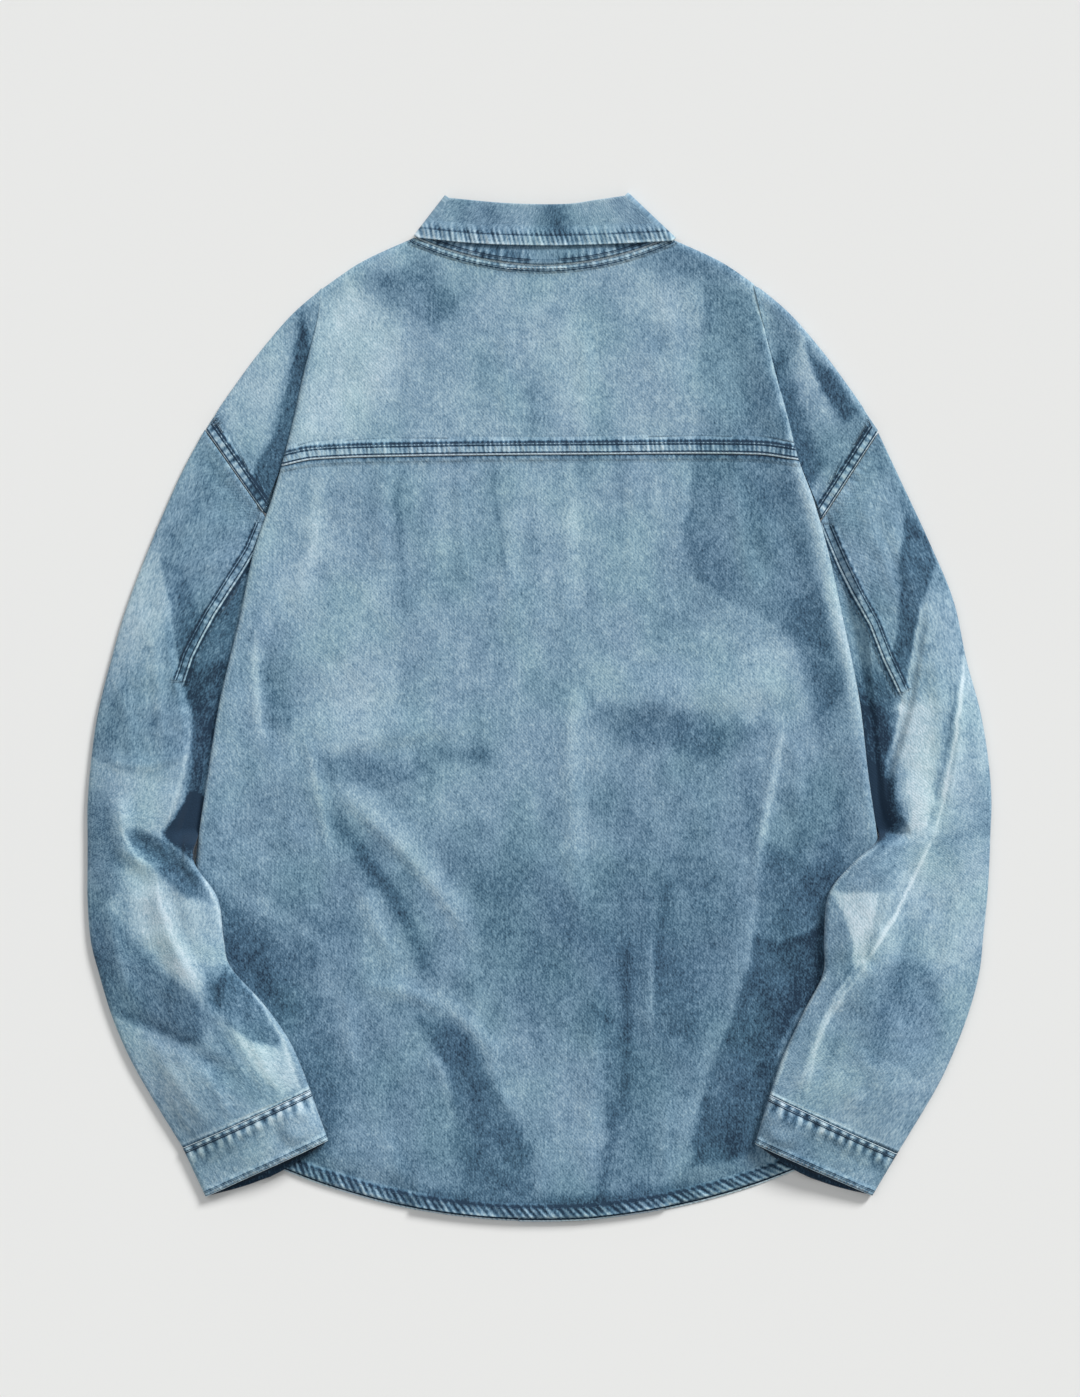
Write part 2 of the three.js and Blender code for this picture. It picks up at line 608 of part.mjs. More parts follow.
function foldPoint(side, t) {
  const fold = side === 'left' ? sideLeft : sideRight;
  const seamY = seamLine(fold(SEAM_AT_FOLD_Y)) + SEAM_GAP / 2;
  const y = mix(seamY, FOLD_APEX_Y - WING_EDGE.belowApex, t);
  return { x: fold(y), y };
}

// Outer edge of a wing: up the armhole seam, then along the shoulder to the top of the fold
function wingEdge(side, t) {
  const { inner, outer } = ARMHOLES[side];
  const sign = side === 'left' ? -1 : 1;
  if (t <= ARMHOLE_SHARE) {
    const along = mix(ARMHOLE_COVERED, 1, t / ARMHOLE_SHARE);
    return { x: mix(inner.x, outer.x, along) - sign * WING_TRIM, y: mix(inner.y, outer.y, along) + WING_TRIM };
  }
  const apex = foldPoint(side, 1);
  const along = (t - ARMHOLE_SHARE) / (1 - ARMHOLE_SHARE);
  const x = mix(outer.x, apex.x + sign * WING_EDGE.past, along) - sign * WING_TRIM;
  return { x, y: mix(outer.y + WING_TRIM, shoulderLine(x), ease(0, WING_EDGE.turn, along)) };
}

function wingPoint(side, t, share) {
  const sign = side === 'left' ? -1 : 1;
  const fold = foldPoint(side, t);
  const edge = wingEdge(side, t);
  const x = mix(fold.x, edge.x, share);
  const y = mix(fold.y, edge.y, share);
  const foldX = (side === 'left' ? sideLeft(y) : sideRight(y)) + sign * WING_EDGE.clear;
  const clear = sign > 0 ? Math.max(x, foldX) : Math.min(x, foldX);
  return new THREE.Vector3(clear, y, bodyTop(clear, y));
}

function yokeMiddle(t, share) {
  const left = foldPoint('left', t);
  const right = foldPoint('right', t);
  const bottomX = mix(foldPoint('left', 0).x, foldPoint('right', 0).x, share);
  const topX = mix(foldPoint('left', 1).x, foldPoint('right', 1).x, share);
  const x = mix(left.x, right.x, share);
  const topY = yokeTop(topX) - (Math.abs(topX - NECK.middle) < NECK.half ? YOKE_CLEAR : 0);
  const y = mix(seamLine(bottomX) + SEAM_GAP / 2, topY, t);
  return new THREE.Vector3(x, y, bodyTop(x, y));
}

function makeBackYoke() {
  const rows = YOKE_HEIGHTS.map((t) => [
    ...[...WING_SHARES].reverse().map((share) => wingPoint('left', t, share)),
    ...YOKE_SHARES.map((share) => yokeMiddle(t, share)),
    ...WING_SHARES.map((share) => wingPoint('right', t, share)),
  ]);
  return clothMesh('back_yoke', slabGeometry(rows, clothBelow(rows)), DENIM);
}

// Fronts: flat on the surface under the back

const FRONT_ROWS = [362, 350, 335, 318, 303, 295, 291, 288.6, 270, 250, 217, 190, 162, 147, 130, 100, 40, -20,
  -70, -95, -120, -145, -200];
const FRONT_HEM_SHARES = [0.25, 0.5, 0.75, 1];
const FRONT_COLUMNS = [0, 0.13, 0.17, 0.26, 0.42, 0.62, 0.8, 0.93, 1];
const FRONT_TUCK = { under: 10, free: 1 };
const FRONT_EDGE = { armhole: 0.6, shoulder: 0.4, across: 1 };
const NECKLINE_TRIM = 1.3;

// Outer edge of a front: the side fold, the armhole seam, then the shoulder
function frontSide(side, y) {
  const sign = side === 'left' ? -1 : 1;
  const { inner, outer } = ARMHOLES[side];
  if (y >= outer.y) return sign * (shoulderByY(y) - FRONT_EDGE.shoulder) + FRONT_EDGE.across;
  const inset = mix(FRONT_TUCK.under, FRONT_TUCK.free, ease(SLEEVE_OVER_Y, SLEEVE_ON_TOP_Y, y));
  const fold = side === 'left' ? sideLeft(y) + inset : sideRight(y) - inset;
  if (y <= inner.y) return fold;
  const along = (y - inner.y) / (outer.y - inner.y);
  const armhole = mix(inner.x, outer.x, along) - sign * FRONT_EDGE.armhole;
  return mix(fold, armhole, ease(0, WING_EDGE.turn, along));
}

// Inner edge of a front: the placket, or the neckline
function frontInner(side, y) {
  const sign = side === 'left' ? -1 : 1;
  const atPlacket = side === 'left' ? -PLACKET.half - SEAM_GAP : -PLACKET.half + PLACKET.lap;
  const above = y - NECK_FRONT.low + NECKLINE_TRIM;
  if (above <= 0) return atPlacket;
  const out = (above / NECK_FRONT.rise) ** (1 / NECK_FRONT.curve);
  const neckline = NECK.middle + sign * (NECK.half * out + SEAM_GAP);
  return sign < 0 ? Math.min(neckline, atPlacket) : Math.max(neckline, atPlacket);
}

function makeFront(side) {
  const overPlacket = side === 'right';
  const lowestY = BODY_SIDES.at(-1).y;
  const place = (share, y, hemShare) => {
    const x = mix(frontInner(side, y), frontSide(side, y), share);
    const lastX = mix(frontInner(side, lowestY), frontSide(side, lowestY), share);
    const hemY = hemLine(lastX) - FRONT_HEM.drop * before(FRONT_HEM, Math.abs(lastX));
    const movedY = hemShare > 0 ? mix(y, hemY, hemShare) : y;
    const movedX = hemShare > 0 ? mix(frontInner(side, movedY), frontSide(side, movedY), share) : x;
    return new THREE.Vector3(movedX, movedY, frontLow(movedX, movedY, overPlacket));
  };
  const rows = FRONT_ROWS.map((y) => FRONT_COLUMNS.map((share) => place(share, y, 0)));
  for (const hemShare of FRONT_HEM_SHARES) {
    rows.push(FRONT_COLUMNS.map((share) => place(share, FRONT_ROWS.at(-1), hemShare)));
  }
  const upper = rows.map((row) => row.map((point) => point.clone().setZ(point.z + CLOTH)));
  return clothMesh(`front_${side}`, slabGeometry(upper, rows), DENIM_DARK);
}

// Placket: a folded strip with a round place for each button

function buttonPlaces() {
  return Array.from({ length: FRONT_BUTTONS.count }, (_, i) => FRONT_BUTTONS.first - i * FRONT_BUTTONS.pitch);
}

function makePlacket() {
  const low = hemLine(0) - PLACKET.below;
  const outline = new THREE.Shape();
  outline.moveTo(-PLACKET.half, low);
  outline.lineTo(PLACKET.half, low);
  outline.lineTo(PLACKET.half, PLACKET.top);
  outline.lineTo(-PLACKET.half, PLACKET.top);
  outline.closePath();
  for (const y of buttonPlaces()) {
    const hole = new THREE.Path();
    hole.absarc(0, y, BUTTON.hole, 0, 2 * Math.PI, true);
    outline.holes.push(hole);
  }
  const geometry = new THREE.ExtrudeGeometry(outline, {
    depth: PLACKET.thick,
    bevelEnabled: false,
    curveSegments: BUTTON.sides / 2,
  });
  return clothMesh('front_placket', geometry, DENIM_DARK);
}

// A plain round button with a softened rim
function makeButton(name, x, y, z) {
  const { radius, thick, edge, sides } = BUTTON;
  const profile = [
    new THREE.Vector2(0, 0),
    new THREE.Vector2(radius - edge, 0),
    new THREE.Vector2(radius, edge),
    new THREE.Vector2(radius, thick - edge),
    new THREE.Vector2(radius - edge, thick),
    new THREE.Vector2(0, thick),
  ];
  const geometry = new THREE.LatheGeometry(profile, sides);
  geometry.rotateX(Math.PI / 2);
  const button = clothMesh(name, geometry, RESIN);
  button.position.set(x, y, z);
  return button;
}

// Flattened tubes: a section runs from its outer end to its inner end over the ground below it

const SECTION_STEPS = 12;

// Height of one section's outer surface over the ground at a share of its width
function sectionRise(share, width, height, inset, upper) {
  const free = height - 2 * inset;
  const reach = Math.max(Math.min(free / 2, width / 4), 0.2);
  const fromEnd = Math.min(share, 1 - share) * (width - 2 * inset);
  const t = clamp(1 - fromEnd / reach, 0, 1);
  const fullness = Math.sqrt(1 - t * t);
  return inset + (free / 2) * (upper ? 1 + fullness : 1 - fullness);
}

// One closed ring: the upper ply from end to end, then the lower ply back
function sectionRing(section, heightAt, inset, lowerShift) {
  const start = new THREE.Vector2(section.ox, section.oy);
  const end = new THREE.Vector2(section.ix, section.iy);
  const width = start.distanceTo(end);
  const down = new THREE.Vector2(end.y - start.y, start.x - end.x).normalize();
  if (down.y > 0) down.negate();
  const pointAt = (i, upper) => {
    const share = (1 - Math.cos((Math.PI * i) / SECTION_STEPS)) / 2;
    const spot = start.clone().lerp(end, (inset + share * (width - 2 * inset)) / width);
    if (!upper) spot.addScaledVector(down, lowerShift * Math.sin(Math.PI * share));
    const height = heightAt(spot.x, spot.y, share, width);
    const rise = sectionRise(share, width, height, inset, upper);
    return new THREE.Vector3(spot.x, spot.y, section.ground(spot.x, spot.y) + rise);
  };
  const upper = [];
  const lower = [];
  for (let i = 0; i <= SECTION_STEPS; i += 1) upper.push(pointAt(i, true));
  for (let i = SECTION_STEPS - 1; i > 0; i -= 1) lower.push(pointAt(i, false));
  return [...upper, ...lower];
}

// Sleeves

const SLEEVE_SECTIONS = 23;
const OUTER_END = 5;
const PLEAT_WIDTH = 0.09;

// The row of a sleeve's table at any share of its length
function sleeveRow(rows, share) {
  const numbered = rows.map((row, i) => ({ ...row, at: i / (rows.length - 1) }));
  const row = {};
  for (const key of Object.keys(rows[0])) row[key] = curve(numbered, 'at', key)(share);
  return row;
}

// Height of the sleeve's upper ply across one section
function sleeveHeight(row, creases) {
  return (x, y, share, width) => {
    const end = mix(OUTER_END, row.end, share);
    const crown = 1 - Math.abs(2 * share - 1) ** 3;
    const pleat = 1 - row.drop * ease(row.pleat - PLEAT_WIDTH, row.pleat + PLEAT_WIDTH, share);
    const full = end + (row.high - end) * crown * pleat + creases(x, y) * crown;
    const fromInner = (1 - share) * width;
    const tucked = TUCKED_SLEEVE + Math.max(0, fromInner - SLEEVE_TUCK.flat) * SLEEVE_TUCK.slope;
    const held = ease(SLEEVE_LIFT.to, SLEEVE_LIFT.from, y);
    return Math.max(mix(full, Math.min(full, tucked), held), TUCKED_SLEEVE);
  };
}

function makeSleeve(name, table, creaseRows) {
  const creases = creaseField(creaseRows);
  const outer = [];
  const inner = [];
  for (const share of evenly(SLEEVE_SECTIONS)) {
    const row = { ...sleeveRow(table, share), ground: groundLevel };
    const height = sleeveHeight(row, creases);
    outer.push(sectionRing(row, height, 0, 0));
    inner.push(sectionRing(row, height, CLOTH, 0));
  }
  return clothMesh(name, tubeGeometry(outer, inner), DENIM_PALE);
}

// Cuffs: the same flat section, its lower ply reaching a little past the upper one at the mouth

const CUFF_SHARES = [0, 0.12, 0.4, 0.75, 1];

function cuffButton(side) {
  const edge = CUFF_EDGES[side];
  const table = side === 'left' ? SLEEVE_LEFT : SLEEVE_RIGHT;
  const seam = table.at(-1);
  const { across, down } = CUFF_BUTTON;
  return {
    x: mix(mix(seam.ox, seam.ix, across), mix(edge.ox, edge.ix, across), down),
    y: mix(mix(seam.oy, seam.iy, across), mix(edge.oy, edge.iy, across), down),
  };
}

function cuffGround(side) {
  const button = cuffButton(side);
  return (x, y) => {
    const away = Math.hypot(x - button.x, y - button.y);
    const near = 1 - ease(BUTTON.radius + CUFF_BUTTON.around, CUFF_BUTTON.reach, away);
    return groundLevel(x, y) + CUFF_BUTTON.lift * near;
  };
}

function makeCuff(side) {
  const table = side === 'left' ? SLEEVE_LEFT : SLEEVE_RIGHT;
  const seam = table.at(-1);
  const edge = CUFF_EDGES[side];
  const gap = SEAM_GAP / Math.hypot(edge.ox - seam.ox, edge.oy - seam.oy);
  const ground = cuffGround(side);
  const height = (x, y, share) => mix(CUFF.edge, CUFF.high, 1 - Math.abs(2 * share - 1) ** 3);
  const outer = [];
  const inner = [];
  for (const share of CUFF_SHARES) {
    const t = mix(gap, 1, share);
    const row = { ground };
    for (const key of ['ox', 'oy', 'ix', 'iy']) row[key] = mix(seam[key], edge[key], t);
    outer.push(sectionRing(row, height, 0, CUFF.mouthShift * share));
    inner.push(sectionRing(row, height, CLOTH, CUFF.mouthShift * share));
  }
  return clothMesh(`cuff_${side}`, tubeGeometry(outer, inner), DENIM_PALE);
}

function makeCuffButton(side) {
  const { x, y } = cuffButton(side);
  return makeButton(`button_cuff_${side}`, x, y, groundLevel(x, y) - CUFF_BUTTON.below);
}

// Collar: both pieces run round the neck in a back layer and a front layer

const COLLAR_BACK_STEPS = 14;
const COLLAR_TURN_STEPS = 4;
const COLLAR_FRONT_STEPS = 7;

// Stations round the neck: s from left (-1) to right (1), lift 1 on the back and -1 on the front
function collarStations(frontStart) {
  const turn = (s, from, to) => evenly(COLLAR_TURN_STEPS).slice(1, -1).map((t) => {
    const angle = mix(from, to, t);
    return { s, lift: Math.cos(angle), bulge: Math.sin(angle) };
  });
  const front = (sign, shares) => shares.map((t) => ({ s: sign * mix(frontStart, 1, t), lift: -1, bulge: 0 }));
  return [
    ...front(-1, evenly(COLLAR_FRONT_STEPS)),
    ...turn(-1, Math.PI, 0),
    ...evenly(COLLAR_BACK_STEPS).map((t) => ({ s: mix(-1, 1, t), lift: 1, bulge: 0 })),
    ...turn(1, 0, Math.PI),
    ...front(1, evenly(COLLAR_FRONT_STEPS).reverse()),
  ];
}

// Outward direction of the collar's slanted sides
const COLLAR_SIDES = { left: { x: -0.77, y: 0.64 }, right: { x: 0.68, y: 0.73 } };

function collarPoint(station, back, front, layers) {
  const level = (layers.back + layers.front) / 2;
  const half = (layers.back - layers.front) / 2;
  const spot = station.lift > 0 ? back : front;
  const out = station.s < 0 ? COLLAR_SIDES.left : COLLAR_SIDES.right;
  return new THREE.Vector3(
    spot.x + out.x * half * station.bulge,
    spot.y + out.y * half * station.bulge,
    level + half * station.lift,
  );
}

const leafFoldX = curve(LEAF_FOLD, 's', 'x');
const leafFoldY = curve(LEAF_FOLD, 's', 'y');
const leafEdgeX = curve(LEAF_EDGE, 's', 'x');
const leafEdgeY = curve(LEAF_EDGE, 's', 'y');

// Fold line of the front of the collar, from a side down to the middle of the front
function frontFold(s) {
  const out = Math.abs(s);
  const sideX = leafFoldX(Math.sign(s));
  const sideY = leafFoldY(Math.sign(s));
  return { x: mix(0, sideX, out), y: mix(LEAF_FRONT.foldLow, sideY, out * out) };
}

function makeCollarLeaf() {
  const shares = [0, 0.08, 0.35, 0.7, 1];
  const rows = shares.map((share) =>
    collarStations(LEAF_FRONT.start).map((station) => {
      const { s } = station;
      const q = (Math.abs(s) - LEAF_FRONT.start) / (1 - LEAF_FRONT.start);
      const fold = frontFold(s);
      const back = {
        x: mix(leafFoldX(s), leafEdgeX(s), share),
        y: mix(leafFoldY(s), leafEdgeY(s), share),
      };
      const tipX = mix(Math.sign(s) * LEAF_FRONT.tipX, leafEdgeX(Math.sign(s)), q);
      const tipY = mix(LEAF_FRONT.tipY, leafEdgeY(Math.sign(s)), q ** LEAF_FRONT.curve);
      const front = { x: mix(fold.x, tipX, share), y: mix(fold.y, tipY, share) };
      return collarPoint(station, back, front, LEAF_LAYERS);
    }),
  );
  const geometry = slabGeometry(offsetGrid(rows, -CLOTH / 2), offsetGrid(rows, CLOTH / 2));
  return clothMesh('collar_leaf', geometry, DENIM);
}

function makeCollarStand() {
  const { edgeGap, frontGap, inset, foldShare, turnFrom } = STAND;
  const shares = [0, 0.3, 0.65, 1];
  const rows = shares.map((share) =>
    collarStations(frontGap).map((station) => {
      const { s } = station;
      const lowX = NECK.middle + (NECK.half - inset) * s;
      const foldX = leafFoldX(s) * foldShare;
      const back = {
        x: mix(lowX, foldX, share),
        y: mix(neckBack(lowX) + SEAM_GAP / 2, leafFoldY(s) - edgeGap, share),
      };
      const fold = frontFold(s);
      const frontLowY = mix(neckFront(lowX) + SEAM_GAP, neckBack(lowX), ease(turnFrom, 1, Math.abs(s)));
      const frontTopY = mix(NECK_FRONT.low + STAND_HEIGHT, fold.y - edgeGap, Math.abs(s));
      const front = { x: mix(lowX, fold.x * foldShare, share), y: mix(frontLowY, frontTopY, share) };
      return collarPoint(station, back, front, STAND_LAYERS);
    }),
  );
  const geometry = slabGeometry(offsetGrid(rows, -CLOTH / 2), offsetGrid(rows, CLOTH / 2));
  return clothMesh('collar_stand', geometry, DENIM_DARK);
}

// The shirt

const shirt = new THREE.Group();
shirt.add(makeFront('left'));
shirt.add(makeFront('right'));
shirt.add(makePlacket());
buttonPlaces().forEach((y, i) => shirt.add(makeButton(`button_front_${i + 1}`, 0, y, 0)));
shirt.add(makeButton('button_collar', 0, COLLAR_BUTTON_Y, 0));
shirt.add(makeBackPanel());
shirt.add(makeBackYoke());
shirt.add(makeCollarStand());
shirt.add(makeCollarLeaf());
shirt.add(makeSleeve('sleeve_left', SLEEVE_LEFT, LEFT_SLEEVE_CREASES));
shirt.add(makeSleeve('sleeve_right', SLEEVE_RIGHT, RIGHT_SLEEVE_CREASES));
for (const side of ['left', 'right']) {
  shirt.add(makeCuff(side));
  shirt.add(makeCuffButton(side));
}

// The origin is the middle of the box, on the surface
shirt.updateMatrixWorld(true);
const box = new THREE.Box3().setFromObject(shirt, true);
shirt.position.set(-(box.min.x + box.max.x) / 2, -(box.min.y + box.max.y) / 2, -box.min.z);

export default shirt;
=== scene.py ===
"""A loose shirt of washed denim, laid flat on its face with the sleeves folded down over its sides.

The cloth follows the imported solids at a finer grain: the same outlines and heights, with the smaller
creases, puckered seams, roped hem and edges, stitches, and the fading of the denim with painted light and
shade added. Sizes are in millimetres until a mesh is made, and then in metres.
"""

import logging
import math
from dataclasses import dataclass, field
from enum import Enum
from typing import Sequence

import bpy
import numpy as np
from bpy.types import ID, Material, Mesh, Node, NodeSocket, NodeTree, Object
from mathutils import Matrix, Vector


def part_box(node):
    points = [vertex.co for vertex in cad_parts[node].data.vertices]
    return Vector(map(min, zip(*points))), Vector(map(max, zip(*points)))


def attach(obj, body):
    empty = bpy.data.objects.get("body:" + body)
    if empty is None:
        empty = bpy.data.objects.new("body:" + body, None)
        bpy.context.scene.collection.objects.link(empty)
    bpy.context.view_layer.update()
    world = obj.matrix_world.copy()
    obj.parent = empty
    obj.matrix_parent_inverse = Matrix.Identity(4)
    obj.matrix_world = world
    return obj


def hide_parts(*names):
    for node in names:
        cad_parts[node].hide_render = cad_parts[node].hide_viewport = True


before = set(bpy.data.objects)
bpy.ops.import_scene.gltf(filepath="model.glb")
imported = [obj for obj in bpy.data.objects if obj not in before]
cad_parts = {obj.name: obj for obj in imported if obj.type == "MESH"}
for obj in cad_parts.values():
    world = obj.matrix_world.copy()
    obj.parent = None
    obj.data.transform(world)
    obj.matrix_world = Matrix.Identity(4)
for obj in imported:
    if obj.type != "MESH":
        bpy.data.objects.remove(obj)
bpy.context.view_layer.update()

LOG = logging.getLogger("denim_shirt")
MM = 0.001
Array = np.ndarray


class Side(Enum):
    """Side of the shirt, as its wearer names it."""

    LEFT = "left"
    RIGHT = "right"

    @property
    def sign(self) -> int:
        """Return -1 on the left and 1 on the right."""
        return -1 if self is Side.LEFT else 1


# Arithmetic on arrays


def mix(a: Array | float, b: Array | float, t: Array | float) -> Array | float:
    """Return the value a share t of the way from a to b."""
    return a + (b - a) * t


def ease(start: float, end: float, value: Array | float) -> Array:
    """Return 0 before start, 1 past end and a smooth step between.

    Args:
        start: Value where the step begins.
        end: Value where it ends, which may be lower than start.
        value: Where to read the step.

    Returns:
        The step's height at each value.
    """
    t = np.clip((np.asarray(value, float) - start) / (end - start), 0.0, 1.0)
    return t * t * (3 - 2 * t)


def ripple_noise(x: Array, y: Array, size: float, seed: int) -> Array:
    """Return smooth random hills between -1 and 1.

    Args:
        x: Places across, in millimetres.
        y: Places along, in millimetres.
        size: Distance between hills, in millimetres.
        seed: Number that fixes the hills.

    Returns:
        Height of the hills at each place.
    """
    lattice = np.random.default_rng(seed).uniform(-1, 1, (64, 64))
    u, v = np.asarray(x, float) / size + 31.3, np.asarray(y, float) / size + 17.7
    i, j = np.floor(u).astype(int), np.floor(v).astype(int)
    fu, fv = u - i, v - j
    fu, fv = fu * fu * (3 - 2 * fu), fv * fv * (3 - 2 * fv)
    low = mix(lattice[i % 64, j % 64], lattice[(i + 1) % 64, j % 64], fu)
    high = mix(lattice[i % 64, (j + 1) % 64], lattice[(i + 1) % 64, (j + 1) % 64], fu)
    return mix(low, high, fv)


class Curve:
    """A smooth curve through the points of a table."""

    def __init__(self, xs: Sequence[float], ys: Sequence[float]) -> None:
        """Sort the points and work out a slope at each."""
        order = np.argsort(xs)
        self.xs = np.asarray(xs, float)[order]
        self.ys = np.asarray(ys, float)[order]
        last = len(self.xs) - 1
        before = np.maximum(np.arange(last + 1) - 1, 0)
        after = np.minimum(np.arange(last + 1) + 1, last)
        self.slopes = (self.ys[after] - self.ys[before]) / (self.xs[after] - self.xs[before])

    def __call__(self, value: Array | float) -> Array:
        """Return the curve's height at each value."""
        v = np.clip(np.asarray(value, float), self.xs[0], self.xs[-1])
        i = np.clip(np.searchsorted(self.xs, v, side="right") - 1, 0, len(self.xs) - 2)
        span = self.xs[i + 1] - self.xs[i]
        t = (v - self.xs[i]) / span
        t2, t3 = t * t, t * t * t
        return (self.ys[i] * (2 * t3 - 3 * t2 + 1) + self.slopes[i] * span * (t3 - 2 * t2 + t)
                + self.ys[i + 1] * (3 * t2 - 2 * t3) + self.slopes[i + 1] * span * (t3 - t2))


@dataclass(frozen=True)
class Table:
    """Rows of numbers under named columns."""

    columns: str
    rows: tuple[tuple[float, ...], ...]

    def column(self, name: str) -> list[float]:
        """Return one column."""
        i = self.columns.split().index(name)
        return [row[i] for row in self.rows]

    def curve(self, key: str, value: str) -> Curve:
        """Return the curve of one column over another."""
        return Curve(self.column(key), self.column(value))

    def named(self) -> list[dict[str, float]]:
        """Return each row as a dict."""
        names = self.columns.split()
        return [dict(zip(names, row)) for row in self.rows]


# Sizes that the solids share

CLOTH = 1.2
SEAM_GAP = 0.3
LAYER_GAP = 0.4
BACK_LEVEL = 6.2
FOLD_SWELL_HIGH, FOLD_SWELL_REACH = 2.6, 34.0
EDGE_ROLL = 6.0
TUCKED_SLEEVE = 3.4
FOLD_APEX_Y = 330.0
SLEEVE_OVER_Y, SLEEVE_ON_TOP_Y = -95.0, -120.0
SLEEVE_LIFT_FROM, SLEEVE_LIFT_TO = -93.0, -106.0
WING_LOW, WING_HIGH, WING_REACH = 4.7, 6.0, 26.0
NECK_MIDDLE, NECK_HALF = 2.0, 99.0
NECK_BACK_LOW, NECK_BACK_RISE = 345.5, 21.5
NECK_FRONT_LOW, NECK_FRONT_RISE = 290.0, 77.0
STAND_HEIGHT = 38.0
LIFT_OVER_PLACKET, LIFT_OVER_LEAF = 2.7, 1.6
PLACKET_HALF, PLACKET_TOP = 17.0, 283.0
HEM_DEEP, HEM_PROUD, HEM_GROOVE = 7.0, 0.9, 10.0
FRONT_HEM_DROP = 3.0
YOKE_END_Y = 194.0
CUFF_HIGH, CUFF_MOUTH_SHIFT, CUFF_BUTTON_LIFT, CUFF_BUTTON_REACH = 10.0, 7.0, 3.5, 20.0
STAND_FRONT, STAND_BACK = 3.3, 5.9
LEAF_FRONT, LEAF_BACK = 0.6, 7.75

BODY_SIDES = Table("y left right", (
    (330, -170, 166), (304, -173, 172.5), (263, -183.5, 183), (225, -192, 193.4), (194, -200, 201.5),
    (163, -209, 213), (122, -223, 224.6), (70, -234, 236), (8, -249, 248.6), (-53, -259, 256),
    (-112, -267.5, 264.5), (-188, -274.5, 273.5), (-266, -276, 276), (-295, -275, 275)))
HEM = Table("x y", (
    (-275, -293), (-268, -311), (-256, -327), (-234, -342), (-199, -357), (-164, -370), (-109, -385),
    (-50, -394), (4, -396.2), (60, -393), (125, -381), (183, -363), (234, -340), (256, -324),
    (269, -307), (275, -289)))
SHOULDER = Table("x y", (
    (99, 367), (132, 352.5), (151, 341.5), (190, 311.5), (218, 280), (241, 249), (263, 217)))
YOKE_SEAM = Table("x y", (
    (-200, 189), (-176, 194), (-101, 196.6), (40, 198), (168, 198), (201, 193.5)))
ARMHOLES = {
    Side.LEFT: {"outer": (-261.3, 217.6), "inner": (-211.5, 146.0)},
    Side.RIGHT: {"outer": (263.6, 215.3), "inner": (215.8, 141.2)},
}
SLEEVE_COLUMNS = "ox oy ix iy high end pleat drop"
SLEEVES = {
    Side.LEFT: Table(SLEEVE_COLUMNS, (
        (-261.3, 217.6, -211.5, 146, 6.2, 3.4, 0.5, 0), (-280, 182.5, -214, 127.9, 8, 3.4, 0.4, 0),
        (-302, 132, -220, 100.6, 10, 3.4, 0.35, 0), (-322, 79.6, -228.5, 63, 12, 3.4, 0.37, 0.2),
        (-334.6, 36.7, -237, 26.5, 13, 3.4, 0.53, 0.45), (-344.8, -4.7, -245.7, -10, 13, 3.4, 0.71, 0.55),
        (-350.2, -43.7, -252, -46, 13, 3.4, 0.77, 0.55), (-352.6, -75, -259.7, -77, 13, 3.4, 0.74, 0.5),
        (-352.6, -98, -266.3, -100.6, 13, 4, 0.7, 0.45), (-352.6, -121.7, -268.3, -119.3, 12, 6, 0.8, 0.1),
        (-352.6, -149, -250.4, -146.6, 12, 6, 0.9, 0), (-350.2, -180, -245.7, -178.6, 12, 6, 0.9, 0),
        (-344, -205, -240.2, -200.5, 12, 6, 0.9, 0), (-333.8, -238.7, -215.3, -228.5, 12, 6, 0.9, 0),
        (-320.6, -270, -196.6, -254.3, 11.5, 6, 0.9, 0), (-304, -300, -186.4, -275.3, 11, 6, 0.9, 0),
        (-278.5, -341.6, -178.6, -295.6, 10, 6, 0.9, 0))),
    Side.RIGHT: Table(SLEEVE_COLUMNS, (
        (263.6, 215.3, 215.8, 141.2, 6.2, 3.4, 0.5, 0), (280, 180.2, 218.4, 122.5, 8, 3.4, 0.4, 0),
        (302.6, 131.8, 224.6, 95.9, 10, 3.4, 0.25, 0), (322, 85, 231.7, 63.2, 12, 3.4, 0.25, 0.2),
        (332.3, 38.2, 238.7, 26.5, 13, 3.4, 0.41, 0.4), (343.2, -2.3, 244.9, -10, 13, 3.4, 0.58, 0.5),
        (349.4, -39.8, 248.8, -46, 13, 3.4, 0.74, 0.55), (351.8, -71, 251.9, -75.7, 13, 3.4, 0.79, 0.5),
        (351, -95.9, 263.4, -99.1, 13, 4, 0.85, 0.3), (350.2, -119.3, 245, -117.8, 12, 6, 0.9, 0),
        (348.7, -145, 224.6, -142.7, 12, 6, 0.9, 0), (345.5, -176.3, 220.7, -176.3, 12, 6, 0.9, 0),
        (342.4, -205, 220, -205, 12, 6, 0.9, 0), (334.6, -234.8, 205.9, -233.2, 12, 6, 0.9, 0),
        (322.9, -266, 191.9, -262.9, 11.5, 6, 0.9, 0), (308, -297.2, 184.9, -280, 11, 6, 0.9, 0),
        (278.5, -346.3, 178.6, -299.5, 10, 6, 0.9, 0))),
}
CUFF_EDGES = {
    Side.LEFT: (-260.5, -379.9, -164.6, -335.0),
    Side.RIGHT: (259.0, -379.1, 166.9, -337.7),
}
LEAF_FOLD = Table("s x y", ((-1, -71, 397.5), (-0.45, -25, 393.4), (0.2, 20, 392.8), (0.6, 44, 396),
                            (1, 66, 399.2)))
LEAF_EDGE = Table("s x y", ((-1, -95, 366.4), (-0.5, -48, 362), (0, 3, 360.5), (0.5, 54, 361.6),
                            (1, 103, 364)))
LEAF_FRONT_START, LEAF_FOLD_LOW, LEAF_TIP_X, LEAF_TIP_Y = 0.12, 328.0, 52.0, 258.0
